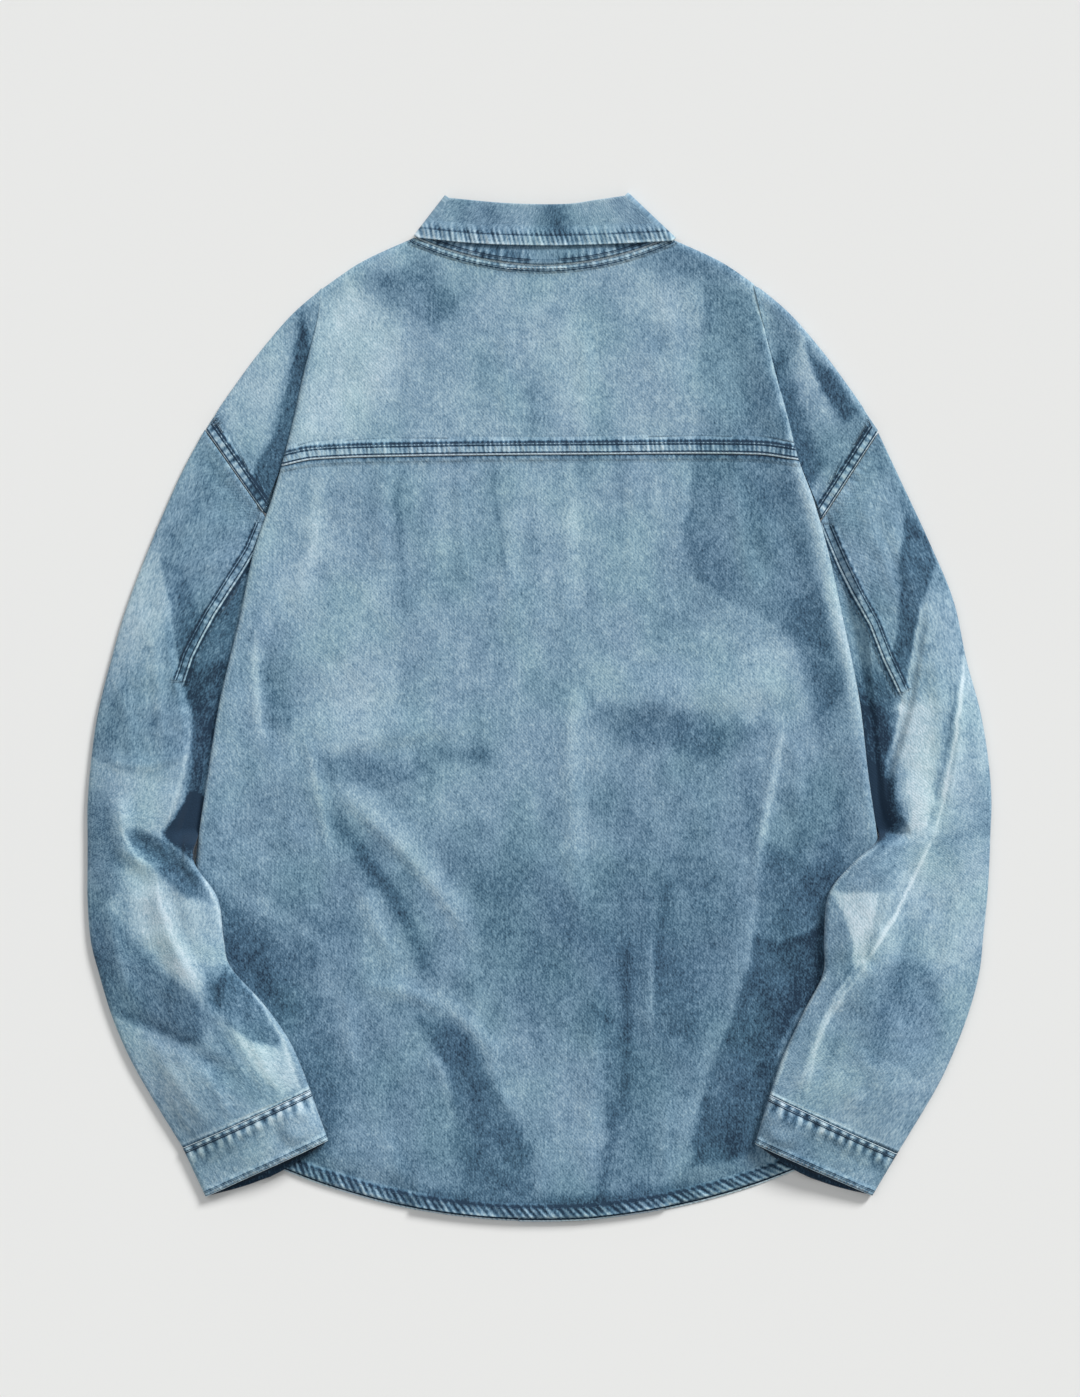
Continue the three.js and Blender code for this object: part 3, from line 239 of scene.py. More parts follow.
COLLAR_SIDES = {Side.LEFT: (-0.77, 0.64), Side.RIGHT: (0.68, 0.73)}

# How far the whole shirt was moved to put its box over the origin, read off the placket's solid
PLACKET_LOW_CORNER, PLACKET_HIGH_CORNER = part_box("front_placket")
SHIFT_X = (PLACKET_LOW_CORNER[0] + PLACKET_HIGH_CORNER[0]) / 2 / MM
SHIFT_Y = PLACKET_HIGH_CORNER[1] / MM - PLACKET_TOP

# Folds and creases: a bent line from 0 through 1 to 2, its rise, its reach to the left and right of its
# run, and how sharp its crest is, from 0 for a soft roll to 1 for a pressed edge
CREASE_COLUMNS = "x0 y0 x1 y1 x2 y2 rise left right sharp"
BACK_CREASES = Table(CREASE_COLUMNS, (
    (-154, -66, -74, -136, -58, -177, 2.16, 24, 9, 0.3), (-168, -78, -112, -124, -83, -193, -0.36, 9, 18, 0),
    (-139, -136, -126, -180, -110, -196, 1.32, 9, 12, 0.3),
    (-132, -217, -82, -214, -35, -268, 1.68, 14, 10, 0.3), (-87, -271, -66, -284, -67, -316, 1.2, 9, 9, 0.3),
    (-182, -25, -169, -60, -165, -110, 1.44, 8, 10, 0.6), (-219, 62, -225, 14, -217, -22, 1.32, 10, 8, 0.7),
    (-171, -30, -120, -22, -60, -12, 1.32, 26, 12, 0), (30, 23, 19, -50, 29, -153, 1.32, 12, 12, 0.2),
    (46, 4, 120, 8, 200, 20, 1.56, 36, 22, 0), (188, -14, 172, -80, 167, -145, 1.56, 8, 8, 0.7),
    (86, -180, 90, -215, 84, -249, 1.2, 10, 14, 0.2), (165, -180, 160, -262, 126, -364, 1.44, 14, 22, 0.2),
    (44, -200, 46, -290, 34, -376, 1.2, 9, 16, 0.2), (-20, 180, -28, 120, -22, 60, 0.9, 12, 12, 0),
    (26, 180, 22, 120, 18, 60, 0.9, 14, 12, 0)))
FINE_BACK_CREASES = Table(CREASE_COLUMNS, (
    (40, 14, 44, -2, 40, -18, -1.2, 5, 7, 0.2), (62, -180, 68, -285, 50, -384, -0.9, 7, 8, 0.2),
    (-98, -214, -72, -228, -56, -262, -0.8, 8, 8, 0), (-58, -262, -58, -300, -20, -356, -0.9, 9, 8, 0.1),
    (-36, -268, -40, -292, -22, -312, 1.2, 8, 7, 0.3), (-98, -28, -66, -36, -34, -38, -0.9, 9, 8, 0),
    (-214, -6, -205, -20, -198, -46, -0.8, 9, 10, 0), (-150, -220, -146, -246, -150, -285, 1.1, 10, 9, 0.2),
    (196, -20, 205, -60, 200, -100, 0.8, 10, 12, 0), (0, -330, 4, -352, 0, -382, 0.8, 7, 8, 0.1),
    (-120, -330, -112, -352, -104, -380, 0.9, 8, 9, 0.1), (100, -300, 96, -330, 98, -372, 0.8, 7, 9, 0.1),
    (-60, 188, -64, 150, -58, 110, 0.8, 9, 9, 0), (70, 190, 74, 150, 68, 96, 0.8, 9, 10, 0),
    (110, 190, 112, 160, 106, 120, 0.7, 8, 8, 0), (-120, 186, -126, 150, -122, 112, 0.8, 9, 10, 0),
    (-170, 180, -176, 130, -190, 70, 0.9, 10, 12, 0), (150, 186, 156, 140, 168, 80, 0.8, 10, 10, 0),
    (-24, 300, -30, 270, -26, 230, 0.7, 9, 9, 0), (34, 300, 40, 262, 30, 216, 0.7, 9, 9, 0),
    (-100, 318, -112, 280, -130, 240, 0.9, 12, 14, 0), (96, 330, 108, 290, 104, 240, 0.8, 12, 12, 0),
    (200, 306, 208, 262, 214, 190, 2.2, 7, 7, 0.6), (-214, 262, -222, 236, -232, 214, 0.9, 10, 10, 0.2)))
SLEEVE_CREASES = {
    Side.LEFT: Table(CREASE_COLUMNS, (
        (-325, -70, -328, -112, -302, -123, 3.0, 12, 14, 0.3),
        (-322, -98, -290, -112, -258, -145, -2.6, 12, 12, 0),
        (-298, -128, -297, -170, -266, -215, 3.2, 14, 16, 0.3),
        (-330, -236, -280, -254, -233, -288, -1.8, 12, 14, 0.2),
        (-248, -232, -222, -262, -207, -296, 2.0, 12, 12, 0.3),
        (-252, -214, -254, -222, -250, -232, -1.8, 7, 7, 0.2),
        (-340, -38, -312, -52, -274, -34, 1.2, 12, 8, 0.5), (-334, 30, -318, 0, -316, -40, 1.0, 9, 9, 0.1),
        (-300, 60, -296, 10, -292, -30, 0.9, 8, 8, 0.1),
        (-336, -150, -330, -190, -318, -226, 1.2, 10, 10, 0.1),
        (-300, -262, -284, -288, -262, -316, 1.1, 9, 9, 0.2),
        (-232, -250, -218, -276, -206, -300, -1.0, 6, 6, 0.1),
        (-262, -276, -250, -296, -238, -318, 0.8, 7, 7, 0.1),
        (-270, 150, -284, 110, -298, 70, 0.9, 9, 9, 0.1), (-250, 166, -262, 130, -276, 96, 0.7, 8, 8, 0.1))),
    Side.RIGHT: Table(CREASE_COLUMNS, (
        (331, 38, 328, -30, 314, -84, 3.0, 12, 12, 0.6), (314, -84, 264, -140, 257, -195, 3.4, 14, 14, 0.6),
        (257, -195, 248, -216, 225, -233, 2.8, 12, 12, 0.6),
        (225, -234, 210, -268, 202, -296, 2.0, 12, 12, 0.4),
        (290, -150, 280, -210, 262, -262, -1.8, 18, 14, 0), (270, -118, 258, -132, 240, -140, 1.2, 9, 9, 0.2),
        (262, -142, 246, -170, 232, -196, 1.4, 10, 10, 0.2),
        (240, -236, 226, -262, 216, -292, -1.1, 7, 7, 0.1),
        (300, -100, 296, -140, 288, -180, 1.0, 10, 10, 0.1),
        (330, -120, 326, -160, 312, -210, 1.0, 10, 10, 0.1), (270, 150, 286, 110, 300, 60, 0.9, 9, 9, 0.1),
        (250, 160, 262, 128, 276, 90, 0.7, 8, 8, 0.1), (306, 40, 312, 0, 310, -44, 1.0, 9, 9, 0.2),
        (256, -268, 244, -292, 236, -316, 0.8, 7, 7, 0.1))),
}


@dataclass(frozen=True)
class Creases:
    """Folds and creases given for one piece of cloth."""

    table: Table
    steps: int = 8

    def rise(self, x: Array, y: Array) -> Array:
        """Return how much the creases raise the cloth.

        Args:
            x: Places across.
            y: Places along.

        Returns:
            Rise in millimetres, below zero in a trough.
        """
        flat_x, flat_y = np.ravel(x), np.ravel(y)
        total = np.zeros(flat_x.shape)
        for row in self.table.named():
            reach = max(row["left"], row["right"])
            xs = [row["x0"], row["x1"], row["x2"]]
            ys = [row["y0"], row["y1"], row["y2"]]
            near = ((flat_x > min(xs) - reach) & (flat_x < max(xs) + reach)
                    & (flat_y > min(ys) - reach) & (flat_y < max(ys) + reach))
            total[near] += self.one(row, flat_x[near], flat_y[near])
        return total.reshape(np.shape(x))

    def one(self, row: dict[str, float], x: Array, y: Array) -> Array:
        """Return the rise of one crease: full on its line, fading to its sides and ends."""
        t = np.linspace(0, 1, self.steps + 1)
        k = 1 - t
        line_x = k * k * row["x0"] + 2 * k * t * row["x1"] + t * t * row["x2"]
        line_y = k * k * row["y0"] + 2 * k * t * row["y1"] + t * t * row["y2"]
        distance, side, along = nearest_on_line(line_x, line_y, t, x, y)
        share = np.clip(distance / np.where(side > 0, row["left"], row["right"]), 0, 1)
        across = mix(1 - ease(0, 1, share), (1 - share) ** 2, row["sharp"])
        return row["rise"] * across * ease(-0.12, 0.22, along) * (1 - ease(0.78, 1.12, along))


def nearest_on_line(line_x: Array, line_y: Array, marks: Array, x: Array,
                    y: Array) -> tuple[Array, Array, Array]:
    """Find the nearest place on a bent line.

    Args:
        line_x: Corners of the line, across.
        line_y: Corners of the line, along.
        marks: Value that the line carries at each corner.
        x: Places across.
        y: Places along.

    Returns:
        Distance to the line, which side of it the place is on (above zero on its left), and the
        line's value there.
    """
    best = np.full(np.shape(x), np.inf)
    side, along = np.zeros(np.shape(x)), np.zeros(np.shape(x))
    for i in range(len(marks) - 1):
        dx, dy = line_x[i + 1] - line_x[i], line_y[i + 1] - line_y[i]
        ax, ay = x - line_x[i], y - line_y[i]
        t = np.clip((ax * dx + ay * dy) / (dx * dx + dy * dy), 0, 1)
        distance = np.hypot(ax - dx * t, ay - dy * t)
        closer = distance < best
        best = np.where(closer, distance, best)
        side = np.where(closer, dx * ay - dy * ax, side)
        along = np.where(closer, mix(marks[i], marks[i + 1], t), along)
    return best, side, along


# Body, as it lies


class BodyForm:
    """Outline and heights of the body's layers, as the solids have them, with the smaller creases added."""

    def __init__(self) -> None:
        """Make the curves that the outline follows."""
        self.left = BODY_SIDES.curve("y", "left")
        self.right = BODY_SIDES.curve("y", "right")
        self.hem_curve = HEM.curve("x", "y")
        self.seam = YOKE_SEAM.curve("x", "y")
        self.shoulder_by_x = SHOULDER.curve("x", "y")
        self.shoulder_by_y = SHOULDER.curve("y", "x")
        self.creases = Creases(BACK_CREASES)
        self.fine_creases = Creases(FINE_BACK_CREASES)

    def hem(self, x: Array) -> Array:
        """Return the hem's y at each x."""
        return self.hem_curve(x)

    def shoulder(self, x: Array) -> Array:
        """Return the shoulder line's y at each x."""
        return self.shoulder_by_x(np.abs(x - 1))

    def neck_out(self, x: Array) -> Array:
        """Return the share of the way from the middle of the neck to its side."""
        return np.abs(x - NECK_MIDDLE) / NECK_HALF

    def neck_back(self, x: Array) -> Array:
        """Return the back neck seam's y at each x."""
        return NECK_BACK_LOW + NECK_BACK_RISE * self.neck_out(x) ** 2

    def neck_front(self, x: Array) -> Array:
        """Return the front neck seam's y at each x."""
        return NECK_FRONT_LOW + NECK_FRONT_RISE * np.minimum(self.neck_out(x), 1) ** 1.6

    def yoke_top(self, x: Array) -> Array:
        """Return the yoke's upper edge: the neck seam, then the shoulders."""
        return np.where(self.neck_out(x) < 1, self.neck_back(x), self.shoulder(x))

    def front_low(self, x: Array, y: Array, over_placket: bool) -> Array:
        """Return the level of the fronts' underside, lifted over the placket and the collar's points."""
        below_neck = self.neck_front(x) - y
        near_neck = np.where(self.neck_out(x) < 1, 1 - ease(75, 100, below_neck), 0)
        side_fade = 1 - ease(95, 125, np.abs(x - NECK_MIDDLE))
        collar = LIFT_OVER_LEAF * (1 - ease(75, 105, below_neck)) * side_fade
        at_seam = (LIFT_OVER_PLACKET - LIFT_OVER_LEAF) * (1 - ease(8, 24, below_neck)) * near_neck
        placket = LIFT_OVER_PLACKET * (1 - ease(35, 57, x)) if over_placket else 0.0
        return np.maximum(collar + at_seam * side_fade, placket)

    def lowest_top(self, x: Array, y: Array) -> Array:
        """Return the lowest level that the back's outer face may have over the fronts."""
        over = self.front_low(x, y, True)
        plain = self.front_low(x, y, False)
        beside = ease(-46, -22, x)
        return mix(plain, over, beside) + 2 * CLOTH + LAYER_GAP

    def inside_fold(self, x: Array, y: Array) -> Array:
        """Return the distance inside the nearer folded side, below zero beyond it."""
        return np.minimum(x - self.left(y), self.right(y) - x)

    def fold_edge_top(self, y: Array) -> Array:
        """Return the level of the cloth's top right at the folded sides."""
        over_sleeve = TUCKED_SLEEVE + 2 * LAYER_GAP + CLOTH
        over_front = 2 * CLOTH + LAYER_GAP
        return mix(over_sleeve, over_front, ease(SLEEVE_OVER_Y, SLEEVE_ON_TOP_Y, y))

    def rumple(self, x: Array, y: Array) -> Array:
        """Return the cloth's soft unevenness."""
        return (0.55 * ripple_noise(x, y, 58, 3) + 0.5 * ripple_noise(x, 0.8 * y, 27, 5)
                + 0.36 * ripple_noise(x, 0.8 * y, 12, 7) + 0.13 * ripple_noise(x, 0.8 * y, 6.5, 9))

    def top(self, x: Array, y: Array) -> Array:
        """Return the level of the outer face of the back and the yoke.

        Args:
            x: Places across.
            y: Places along.

        Returns:
            Level in millimetres over the surface.
        """
        inside = self.inside_fold(x, y)
        grown = ease(FOLD_APEX_Y, FOLD_APEX_Y - 80, y)
        lowest = self.lowest_top(x, y)
        calm = ease(1, 12, np.abs(inside)) * ease(4, 26, self.neck_back(x) - y)
        relief = self.creases.rise(x, y) + (self.fine_creases.rise(x, y) + self.rumple(x, y)) * calm
        open_top = np.maximum(BACK_LEVEL + relief, lowest)
        swell = FOLD_SWELL_HIGH * grown * (1 - ease(0, FOLD_SWELL_REACH, inside))
        on_body = mix(open_top + swell, self.fold_edge_top(y), grown * rolled(inside, EDGE_ROLL))
        wing = mix(WING_LOW, WING_HIGH, ease(4, WING_REACH, -inside)) + 0.5 * self.rumple(x, y) * calm
        tucked = self.fold_edge_top(y) - 0.2 + ease(0, 8, -inside) * 2
        on_wing = mix(open_top, np.minimum(wing, tucked), grown)
        top = np.where(inside > 0, on_body, on_wing)
        to_hem = y - self.hem(x)
        settled = lowest + 0.6 + ease(0, 3 * HEM_GROOVE, to_hem) * 2
        near_hem = mix(np.minimum(top, settled), top, ease(HEM_GROOVE, 3 * HEM_GROOVE, to_hem))
        near_hem = near_hem + HEM_PROUD * (1 - ease(HEM_DEEP, HEM_GROOVE, to_hem)) * ease(0, 1.5, to_hem)
        top = np.where(to_hem < 3 * HEM_GROOVE, near_hem, top)
        shoulder_roll = rolled((self.shoulder(x) - y) * 0.75, EDGE_ROLL)
        at_neck = STAND_BACK + CLOTH / 2
        by_neck = mix(at_neck, np.maximum(top, at_neck - 0.4), ease(0, 30, self.neck_back(x) - y))
        top = np.where(self.neck_out(x) > 1, mix(top, lowest, shoulder_roll), by_neck)
        return np.maximum(top, lowest)


def rolled(distance: Array, reach: float) -> Array:
    """Return the drop of a rolled edge: 1 at the edge and 0 a full roll inside it."""
    t = np.clip(1 - distance / reach, 0, 1)
    return 1 - np.sqrt(1 - t * t)


class Ground:
    """Level that the sleeves and cuffs lie on: the surface, or the body's highest point nearby."""

    STEP = 4.0
    REACH = 13.0
    LOW_X, LOW_Y, WIDE, TALL = -400.0, -420.0, 200, 110
    BLUR = 3

    def __init__(self, body: BodyForm) -> None:
        """Read the body's level on a grid, spread its high points, and soften a copy of that."""
        xs = self.LOW_X + self.STEP * np.arange(self.WIDE)
        ys = self.LOW_Y + self.STEP * np.arange(self.TALL)
        x, y = np.meshgrid(xs, ys)
        on_body = (y > body.hem(x)) & (body.inside_fold(x, y) > 0)
        level = np.where(on_body, body.top(x, y) + LAYER_GAP + 0.2, 0)
        reach = int(math.ceil(self.REACH / self.STEP))
        spread = level.copy()
        for dj in range(-reach, reach + 1):
            for di in range(-reach, reach + 1):
                if math.hypot(di, dj) * self.STEP <= self.REACH:
                    spread = np.maximum(spread, np.roll(level, (dj, di), (0, 1)))
        self.level = self.soft = spread
        for axis in (0, 1, 0, 1):
            self.soft = np.mean([np.roll(self.soft, k, axis) for k in range(-self.BLUR, self.BLUR + 1)], 0)

    def read(self, level: Array, x: Array, y: Array) -> Array:
        """Return one of the grids read at each place."""
        u = np.clip((x - self.LOW_X) / self.STEP, 0, self.WIDE - 2)
        v = np.clip((y - self.LOW_Y) / self.STEP, 0, self.TALL - 2)
        i, j = np.floor(u).astype(int), np.floor(v).astype(int)
        low = mix(level[j, i], level[j, i + 1], u - i)
        high = mix(level[j + 1, i], level[j + 1, i + 1], u - i)
        return mix(low, high, v - j) * ease(SLEEVE_LIFT_FROM, SLEEVE_LIFT_TO, y)

    def __call__(self, x: Array, y: Array) -> Array:
        """Return the level at each place."""
        return self.read(self.level, x, y)

    def drape(self, x: Array, y: Array, share: Array, upper: Array) -> Array:
        """Return how far the upper ply hangs off the level, so that it bridges the body's edge softly."""
        free = ease(0, 0.16, np.minimum(share, 1 - share)) * (upper > 0)
        return (self.read(self.soft, x, y) - self.read(self.level, x, y)) * free


# Fading of the washed denim, and light and shade painted into it: darker and paler places


@dataclass(frozen=True)
class Patch:
    """One darker or paler place, such as a faded place, a painted shadow or a painted highlight: change of
    tone, half width of its edge, and corners.
    """

    tone: float
    soft: float
    corners: tuple[float, ...]

    def share(self, x: Array, y: Array) -> Array:
        """Return 1 well inside the patch, 0 outside it, with a soft edge."""
        xs = np.array(self.corners[0::2] + self.corners[:1])
        ys = np.array(self.corners[1::2] + self.corners[1:2])
        near = ((x > xs.min() - self.soft) & (x < xs.max() + self.soft)
                & (y > ys.min() - self.soft) & (y < ys.max() + self.soft))
        out = np.zeros(np.shape(x))
        px, py = x[near], y[near]
        distance = nearest_on_line(xs, ys, np.arange(len(xs), dtype=float), px, py)[0]
        within = np.zeros(px.shape, bool)
        for i in range(len(xs) - 1):
            crosses = (ys[i] > py) != (ys[i + 1] > py)
            slope = (xs[i + 1] - xs[i]) / (ys[i + 1] - ys[i] if ys[i + 1] != ys[i] else 1e-9)
            within ^= crosses & (px < xs[i] + (py - ys[i]) * slope)
        out[near] = ease(-self.soft, self.soft, np.where(within, distance, -distance))
        return out


def oval(x: float, y: float, wide: float, tall: float, tone: float, soft: float) -> tuple[float, ...]:
    """Return the row of an oval patch.

    Args:
        x: Middle, across.
        y: Middle, along.
        wide: Half width.
        tall: Half height.
        tone: How much paler, or darker below zero.
        soft: Half width of its edge.

    Returns:
        Change of tone, half width of the edge and corners.
    """
    turns = [2 * math.pi * i / 18 for i in range(18)]
    return (tone, soft) + tuple(v for a in turns for v in (x + wide * math.cos(a), y + tall * math.sin(a)))


@dataclass(frozen=True)
class WashAndShading:
    """Fading of one area of cloth, with painted light and shade: patches, and strokes along its folds."""

    patches: tuple[Patch, ...]
    strokes: Table

    def tone(self, x: Array, y: Array) -> Array:
        """Return how much paler each place is, below zero where it is darker."""
        off_x = ripple_noise(x, y, 13, 21) + 0.5 * ripple_noise(x, y, 6, 23)
        off_y = ripple_noise(x, y, 13, 22) + 0.5 * ripple_noise(x, y, 6, 24)
        total = Creases(self.strokes).rise(x + off_x, y + off_y)
        for patch in self.patches:
            drift = min(0.45 * patch.soft, 4)
            total = total + patch.tone * patch.share(x + drift * off_x, y + drift * off_y)
        return total


def wash_and_shading_of(patches: tuple[tuple[float, ...], ...], strokes: tuple[tuple[float, ...], ...]) -> WashAndShading:
    """Return the fading, with its painted light and shade, from its rows.

    Args:
        patches: Change of tone, half width of the edge and corners of each patch.
        strokes: Rows in the columns of the creases, with the change of tone as their rise.

    Returns:
        The fading, with its painted light and shade.
    """
    return WashAndShading(tuple(Patch(row[0], row[1], row[2:]) for row in patches), Table(CREASE_COLUMNS, strokes))


def mottle(x: Array, y: Array) -> Array:
    """Return the soft cloudiness and the faint lengthwise streaks of washed denim."""
    clouds = 0.05 * ripple_noise(x, 0.7 * y, 30, 31) + 0.045 * ripple_noise(x, 0.7 * y, 14, 33)
    return clouds + 0.035 * ripple_noise(x, 0.16 * y, 5, 35) + 0.03 * ripple_noise(x, y, 7, 37)


# The back's fading, with painted light and shade: dappled pools of light and shadow across the back, the
# shadows of the sleeves and the collar, and the lit ridges and shaded troughs of its folds are paler and darker
# patches and strokes
BODY_WASH_AND_SHADING = wash_and_shading_of((
    (-0.15, 3, 129, 331, 128, 310, 124, 280, 127, 250, 121, 210, 121, 190, 117, 160, 109, 140, 117, 115, 124,
     100, 135, 90, 152, 80, 166, 75, 182, 67, 197, 54, 228, 40, 221, 75, 214, 110, 207, 150, 199, 185, 192,
     220, 183, 250, 174, 290, 165, 325),
    (-0.2, 8, -135, 335, -100, 345, -95, 355, -85, 340, -60, 318, -80, 300, -100, 305, -115, 318),
    (-0.2, 5, 70, 346, 95, 362, 110, 362, 160, 340, 140, 331, 110, 336, 85, 341),
    (0.17, 13, -150, 332, -128, 322, -112, 290, -118, 250, -140, 212, -192, 203, -180, 250, -168, 300),
    oval(30, 268, 26, 42, 0.08, 13),
    oval(-14, 235, 26, 32, -0.03, 9),
    oval(-72, 284, 42, 22, -0.03, 10),
    (0.07, 8, 60, 322, 118, 330, 122, 300, 90, 300),
    (-0.06, 8, 60, 300, 122, 296, 122, 270, 84, 284),
    (0.09, 15, -225, 180, -190, 186, -150, 120, -110, 60, -105, 0, -130, -28, -170, -25, -180, 10, -192, 60,
     -215, 70),
    (0.05, 9, 35, 30, 60, 28, 100, 18, 125, 0, 150, -8, 175, -6, 198, 10, 208, -2, 203, 40, 192, 53, 180, 60,
     150, 58, 110, 62, 70, 45, 45, 46),
    (-0.12, 2.5, 184, 59, 198, 50, 202, 30, 206, 8, 213, -8, 226, 0, 240, 20, 232, 60, 214, 92, 196, 84),
    (-0.17, 8, 32, 24, 38, 0, 44, -13, 60, -24, 110, -34, 130, -40, 160, -34, 175, -14, 150, -12, 120, -3, 90,
     3, 55, 2, 42, 5),
    (-0.1, 6, 205, 40, 216, 0, 212, -30, 196, -20, 188, -62, 200, -110, 250, -110, 250, -25, 236, 20, 232, 60),
    (-0.25, 3, 166, -176, 186, -182, 206, -176, 226, -160, 228, -215, 200, -235, 185, -265, 178, -300, 165,
     -345, 118, -358, 123, -318, 135, -274, 148, -246, 158, -214, 164, -192),
    (-0.16, 13, 172, -112, 190, -106, 210, -124, 238, -120, 228, -160, 206, -178, 184, -184, 166, -180),
    (-0.1, 12, 215, -120, 250, -110, 232, -150, 232, -215, 206, -236, 196, -262, 188, -240, 204, -190),
    (-0.03, 10, 104, -60, 190, -60, 170, -190, 150, -240, 112, -250, 108, -190),
    oval(66, 150, 55, 34, 0.06, 20),
    oval(110, -75, 70, 40, -0.06, 22),
    (0.07, 10, 2, -250, 50, -255, 48, -330, 44, -380, 4, -384),
    (-0.12, 7, -213, 58, -204, 62, -196, 30, -192, -16, -205, -24, -214, -10, -215, 25),
    (-0.14, 7, -172, -38, -150, -34, -120, -42, -100, -45, -98, -30, -60, -26, -35, -30, -38, -43, -70, -41,
     -95, -49, -118, -62, -150, -60, -168, -56),
    (0.1, 6, -150, -135, -125, -140, -108, -160, -100, -200, -103, -222, -122, -236, -136, -222, -141, -180),
    (0.09, 8, -60, -228, -30, -215, -10, -240, 0, -290, 0, -345, -15, -332, -35, -290, -48, -250),
    (-0.17, 5, -98, -240, -70, -246, -50, -253, -42, -281, -28, -311, -10, -342, -5, -378, -60, -374, -66,
     -320, -70, -290, -82, -268),
    (-0.13, 10, -262, -130, -240, -150, -215, -175, -175, -190, -165, -240, -150, -290, -160, -350, -200,
     -350, -190, -290, -220, -225, -245, -195, -248, -150),
    (-0.09, 7, -250, -148, -228, -165, -206, -200, -196, -245, -222, -222, -246, -198),
    (-0.08, 22, -60, -120, 140, -120, 150, -220, 120, -300, 60, -300, -30, -230)
), (
    (-170, 190, -174, 150, -180, 100, 0.1, 8, 10, 0), (-110, 188, -112, 140, -104, 78, -0.14, 6, 6, 0.2),
    (-74, 190, -78, 150, -72, 100, 0.1, 8, 9, 0), (-36, 190, -34, 140, -22, 88, -0.14, 5, 6, 0.3),
    (0, 188, 4, 130, 12, 70, 0.08, 5, 7, 0.2), (24, 190, 24, 140, 34, 60, 0.09, 10, 10, 0),
    (62, 190, 60, 150, 66, 110, -0.08, 6, 6, 0), (92, 188, 90, 160, 94, 128, 0.07, 6, 6, 0),
    (-221, 64, -224, 20, -217, -24, 0.24, 5, 4, 0.4), (-178, -42, -172, -75, -164, -108, 0.17, 5, 4, 0.4),
    (-154, -62, -95, -104, -61, -184, 0.13, 22, 10, 0.1),
    (-168, -78, -122, -124, -84, -208, -0.22, 10, 12, 0.1),
    (-102, -211, -62, -231, -37, -278, 0.15, 14, 8, 0.2), (-84, -266, -70, -290, -70, -324, 0.14, 5, 5, 0.4),
    (30, 32, 27, -40, 36, -142, 0.07, 18, 16, 0), (191, -8, 181, -60, 168, -122, 0.22, 5, 5, 0.4),
    (168, -120, 166, -160, 161, -204, 0.13, 7, 4, 0.3), (99, -130, 95, -175, 90, -232, -0.13, 9, 7, 0.2),
    (86, -176, 88, -212, 84, -252, 0.14, 4, 4, 0.4), (66, -176, 72, -250, 62, -330, -0.15, 9, 8, 0.2),
    (58, -300, 53, -345, 47, -390, -0.18, 8, 8, 0.2), (118, -300, 112, -340, 104, -372, 0.08, 8, 8, 0),
    (-236, -142, -200, -160, -160, -188, 0.09, 9, 9, 0), (164, 330, 184, 262, 200, 196, 0.2, 4, 3, 0.3),
    (152, 40, 176, 46, 198, 36, 0.06, 12, 12, 0), (36, -228, 46, -238, 56, -246, -0.12, 6, 6, 0)))

# Fading over the wings of the yoke, with painted shade: dark bands along the folded sides stand in for the
# shadows they cast, and a pale stroke is a painted highlight on a small fold's ridge
WING_WASH_AND_SHADING = wash_and_shading_of((
    (-0.32, 2.5, -186, 308, -191, 282, -198, 248, -208, 214, -222, 188, -230, 172, -205, 146, -192, 190, -184,
     230, -176, 264),
    (-0.1, 8, -196, 314, -160, 320, -165, 290, -190, 285),
    (0.14, 12, -250, 240, -205, 300, -192, 290, -214, 215, -240, 205),
    (-0.34, 3, 203, 294, 213, 276, 233, 255, 247, 232, 236, 221, 222, 243, 212, 262),
    (-0.24, 4, 178, 264, 188, 230, 196, 190, 212, 172, 223, 190, 213, 215, 203, 240, 196, 262, 188, 282),
    (-0.12, 6, 176, 322, 196, 304, 200, 280, 186, 262),
    (-0.08, 6, 215, 215, 246, 230, 250, 205, 226, 180)
), (
    (201, 300, 209, 262, 227, 218, 0.18, 5, 4, 0.3), (-192, 300, -210, 250, -226, 200, 0.05, 9, 9, 0)))


# Sewn lines

# Width that every seam's band has on the map that the denim reads
SEAM_BAND = 10.0


@dataclass(frozen=True)
class SeamRun:
    """One seam, hem or turned edge: a bent line with a raised band on one side of it."""

    line_x: Array
    line_y: Array
    wide: float
    proud: float
    bars: float
    side: int = 1
    slant: float = 0.0
    spread: float = 9.0
    pace: float = 1.0
    lined: bool = True
    fade: float = 3.0
    taper: float = 0.0

    @property
    def marks(self) -> Array:
        """Return the distance along the line at each of its corners."""
        steps = np.hypot(np.diff(self.line_x), np.diff(self.line_y))
        return np.concatenate([[0], np.cumsum(steps)])

    def read(self, x: Array, y: Array) -> tuple[Array, Array, Array]:
        """Measure places against the seam.

        Args:
            x: Places across.
            y: Places along.

        Returns:
            Signed distance from the line, above zero on the band's side; the distance along it; and
            1 near the seam, fading to 0 away from it.
        """
        reach = self.wide + self.spread
        distance = np.full(np.shape(x), 1e3)
        along = np.zeros(np.shape(x))
        near = ((x > self.line_x.min() - reach) & (x < self.line_x.max() + reach)
                & (y > self.line_y.min() - reach) & (y < self.line_y.max() + reach))
        found, side, arc = nearest_on_line(self.line_x, self.line_y, self.marks, x[near], y[near])
        distance[near] = found * np.where(side * self.side >= 0, 1, -1)
        along[near] = arc
        beyond = np.where(distance > 0, distance, -self.fade * distance)
        whole = self.marks[-1]
        inside = ease(0, self.taper, along) * ease(0, self.taper, whole - along) if self.taper > 0 else 1.0
        return distance, along, inside * (1 - ease(self.wide, reach, beyond))


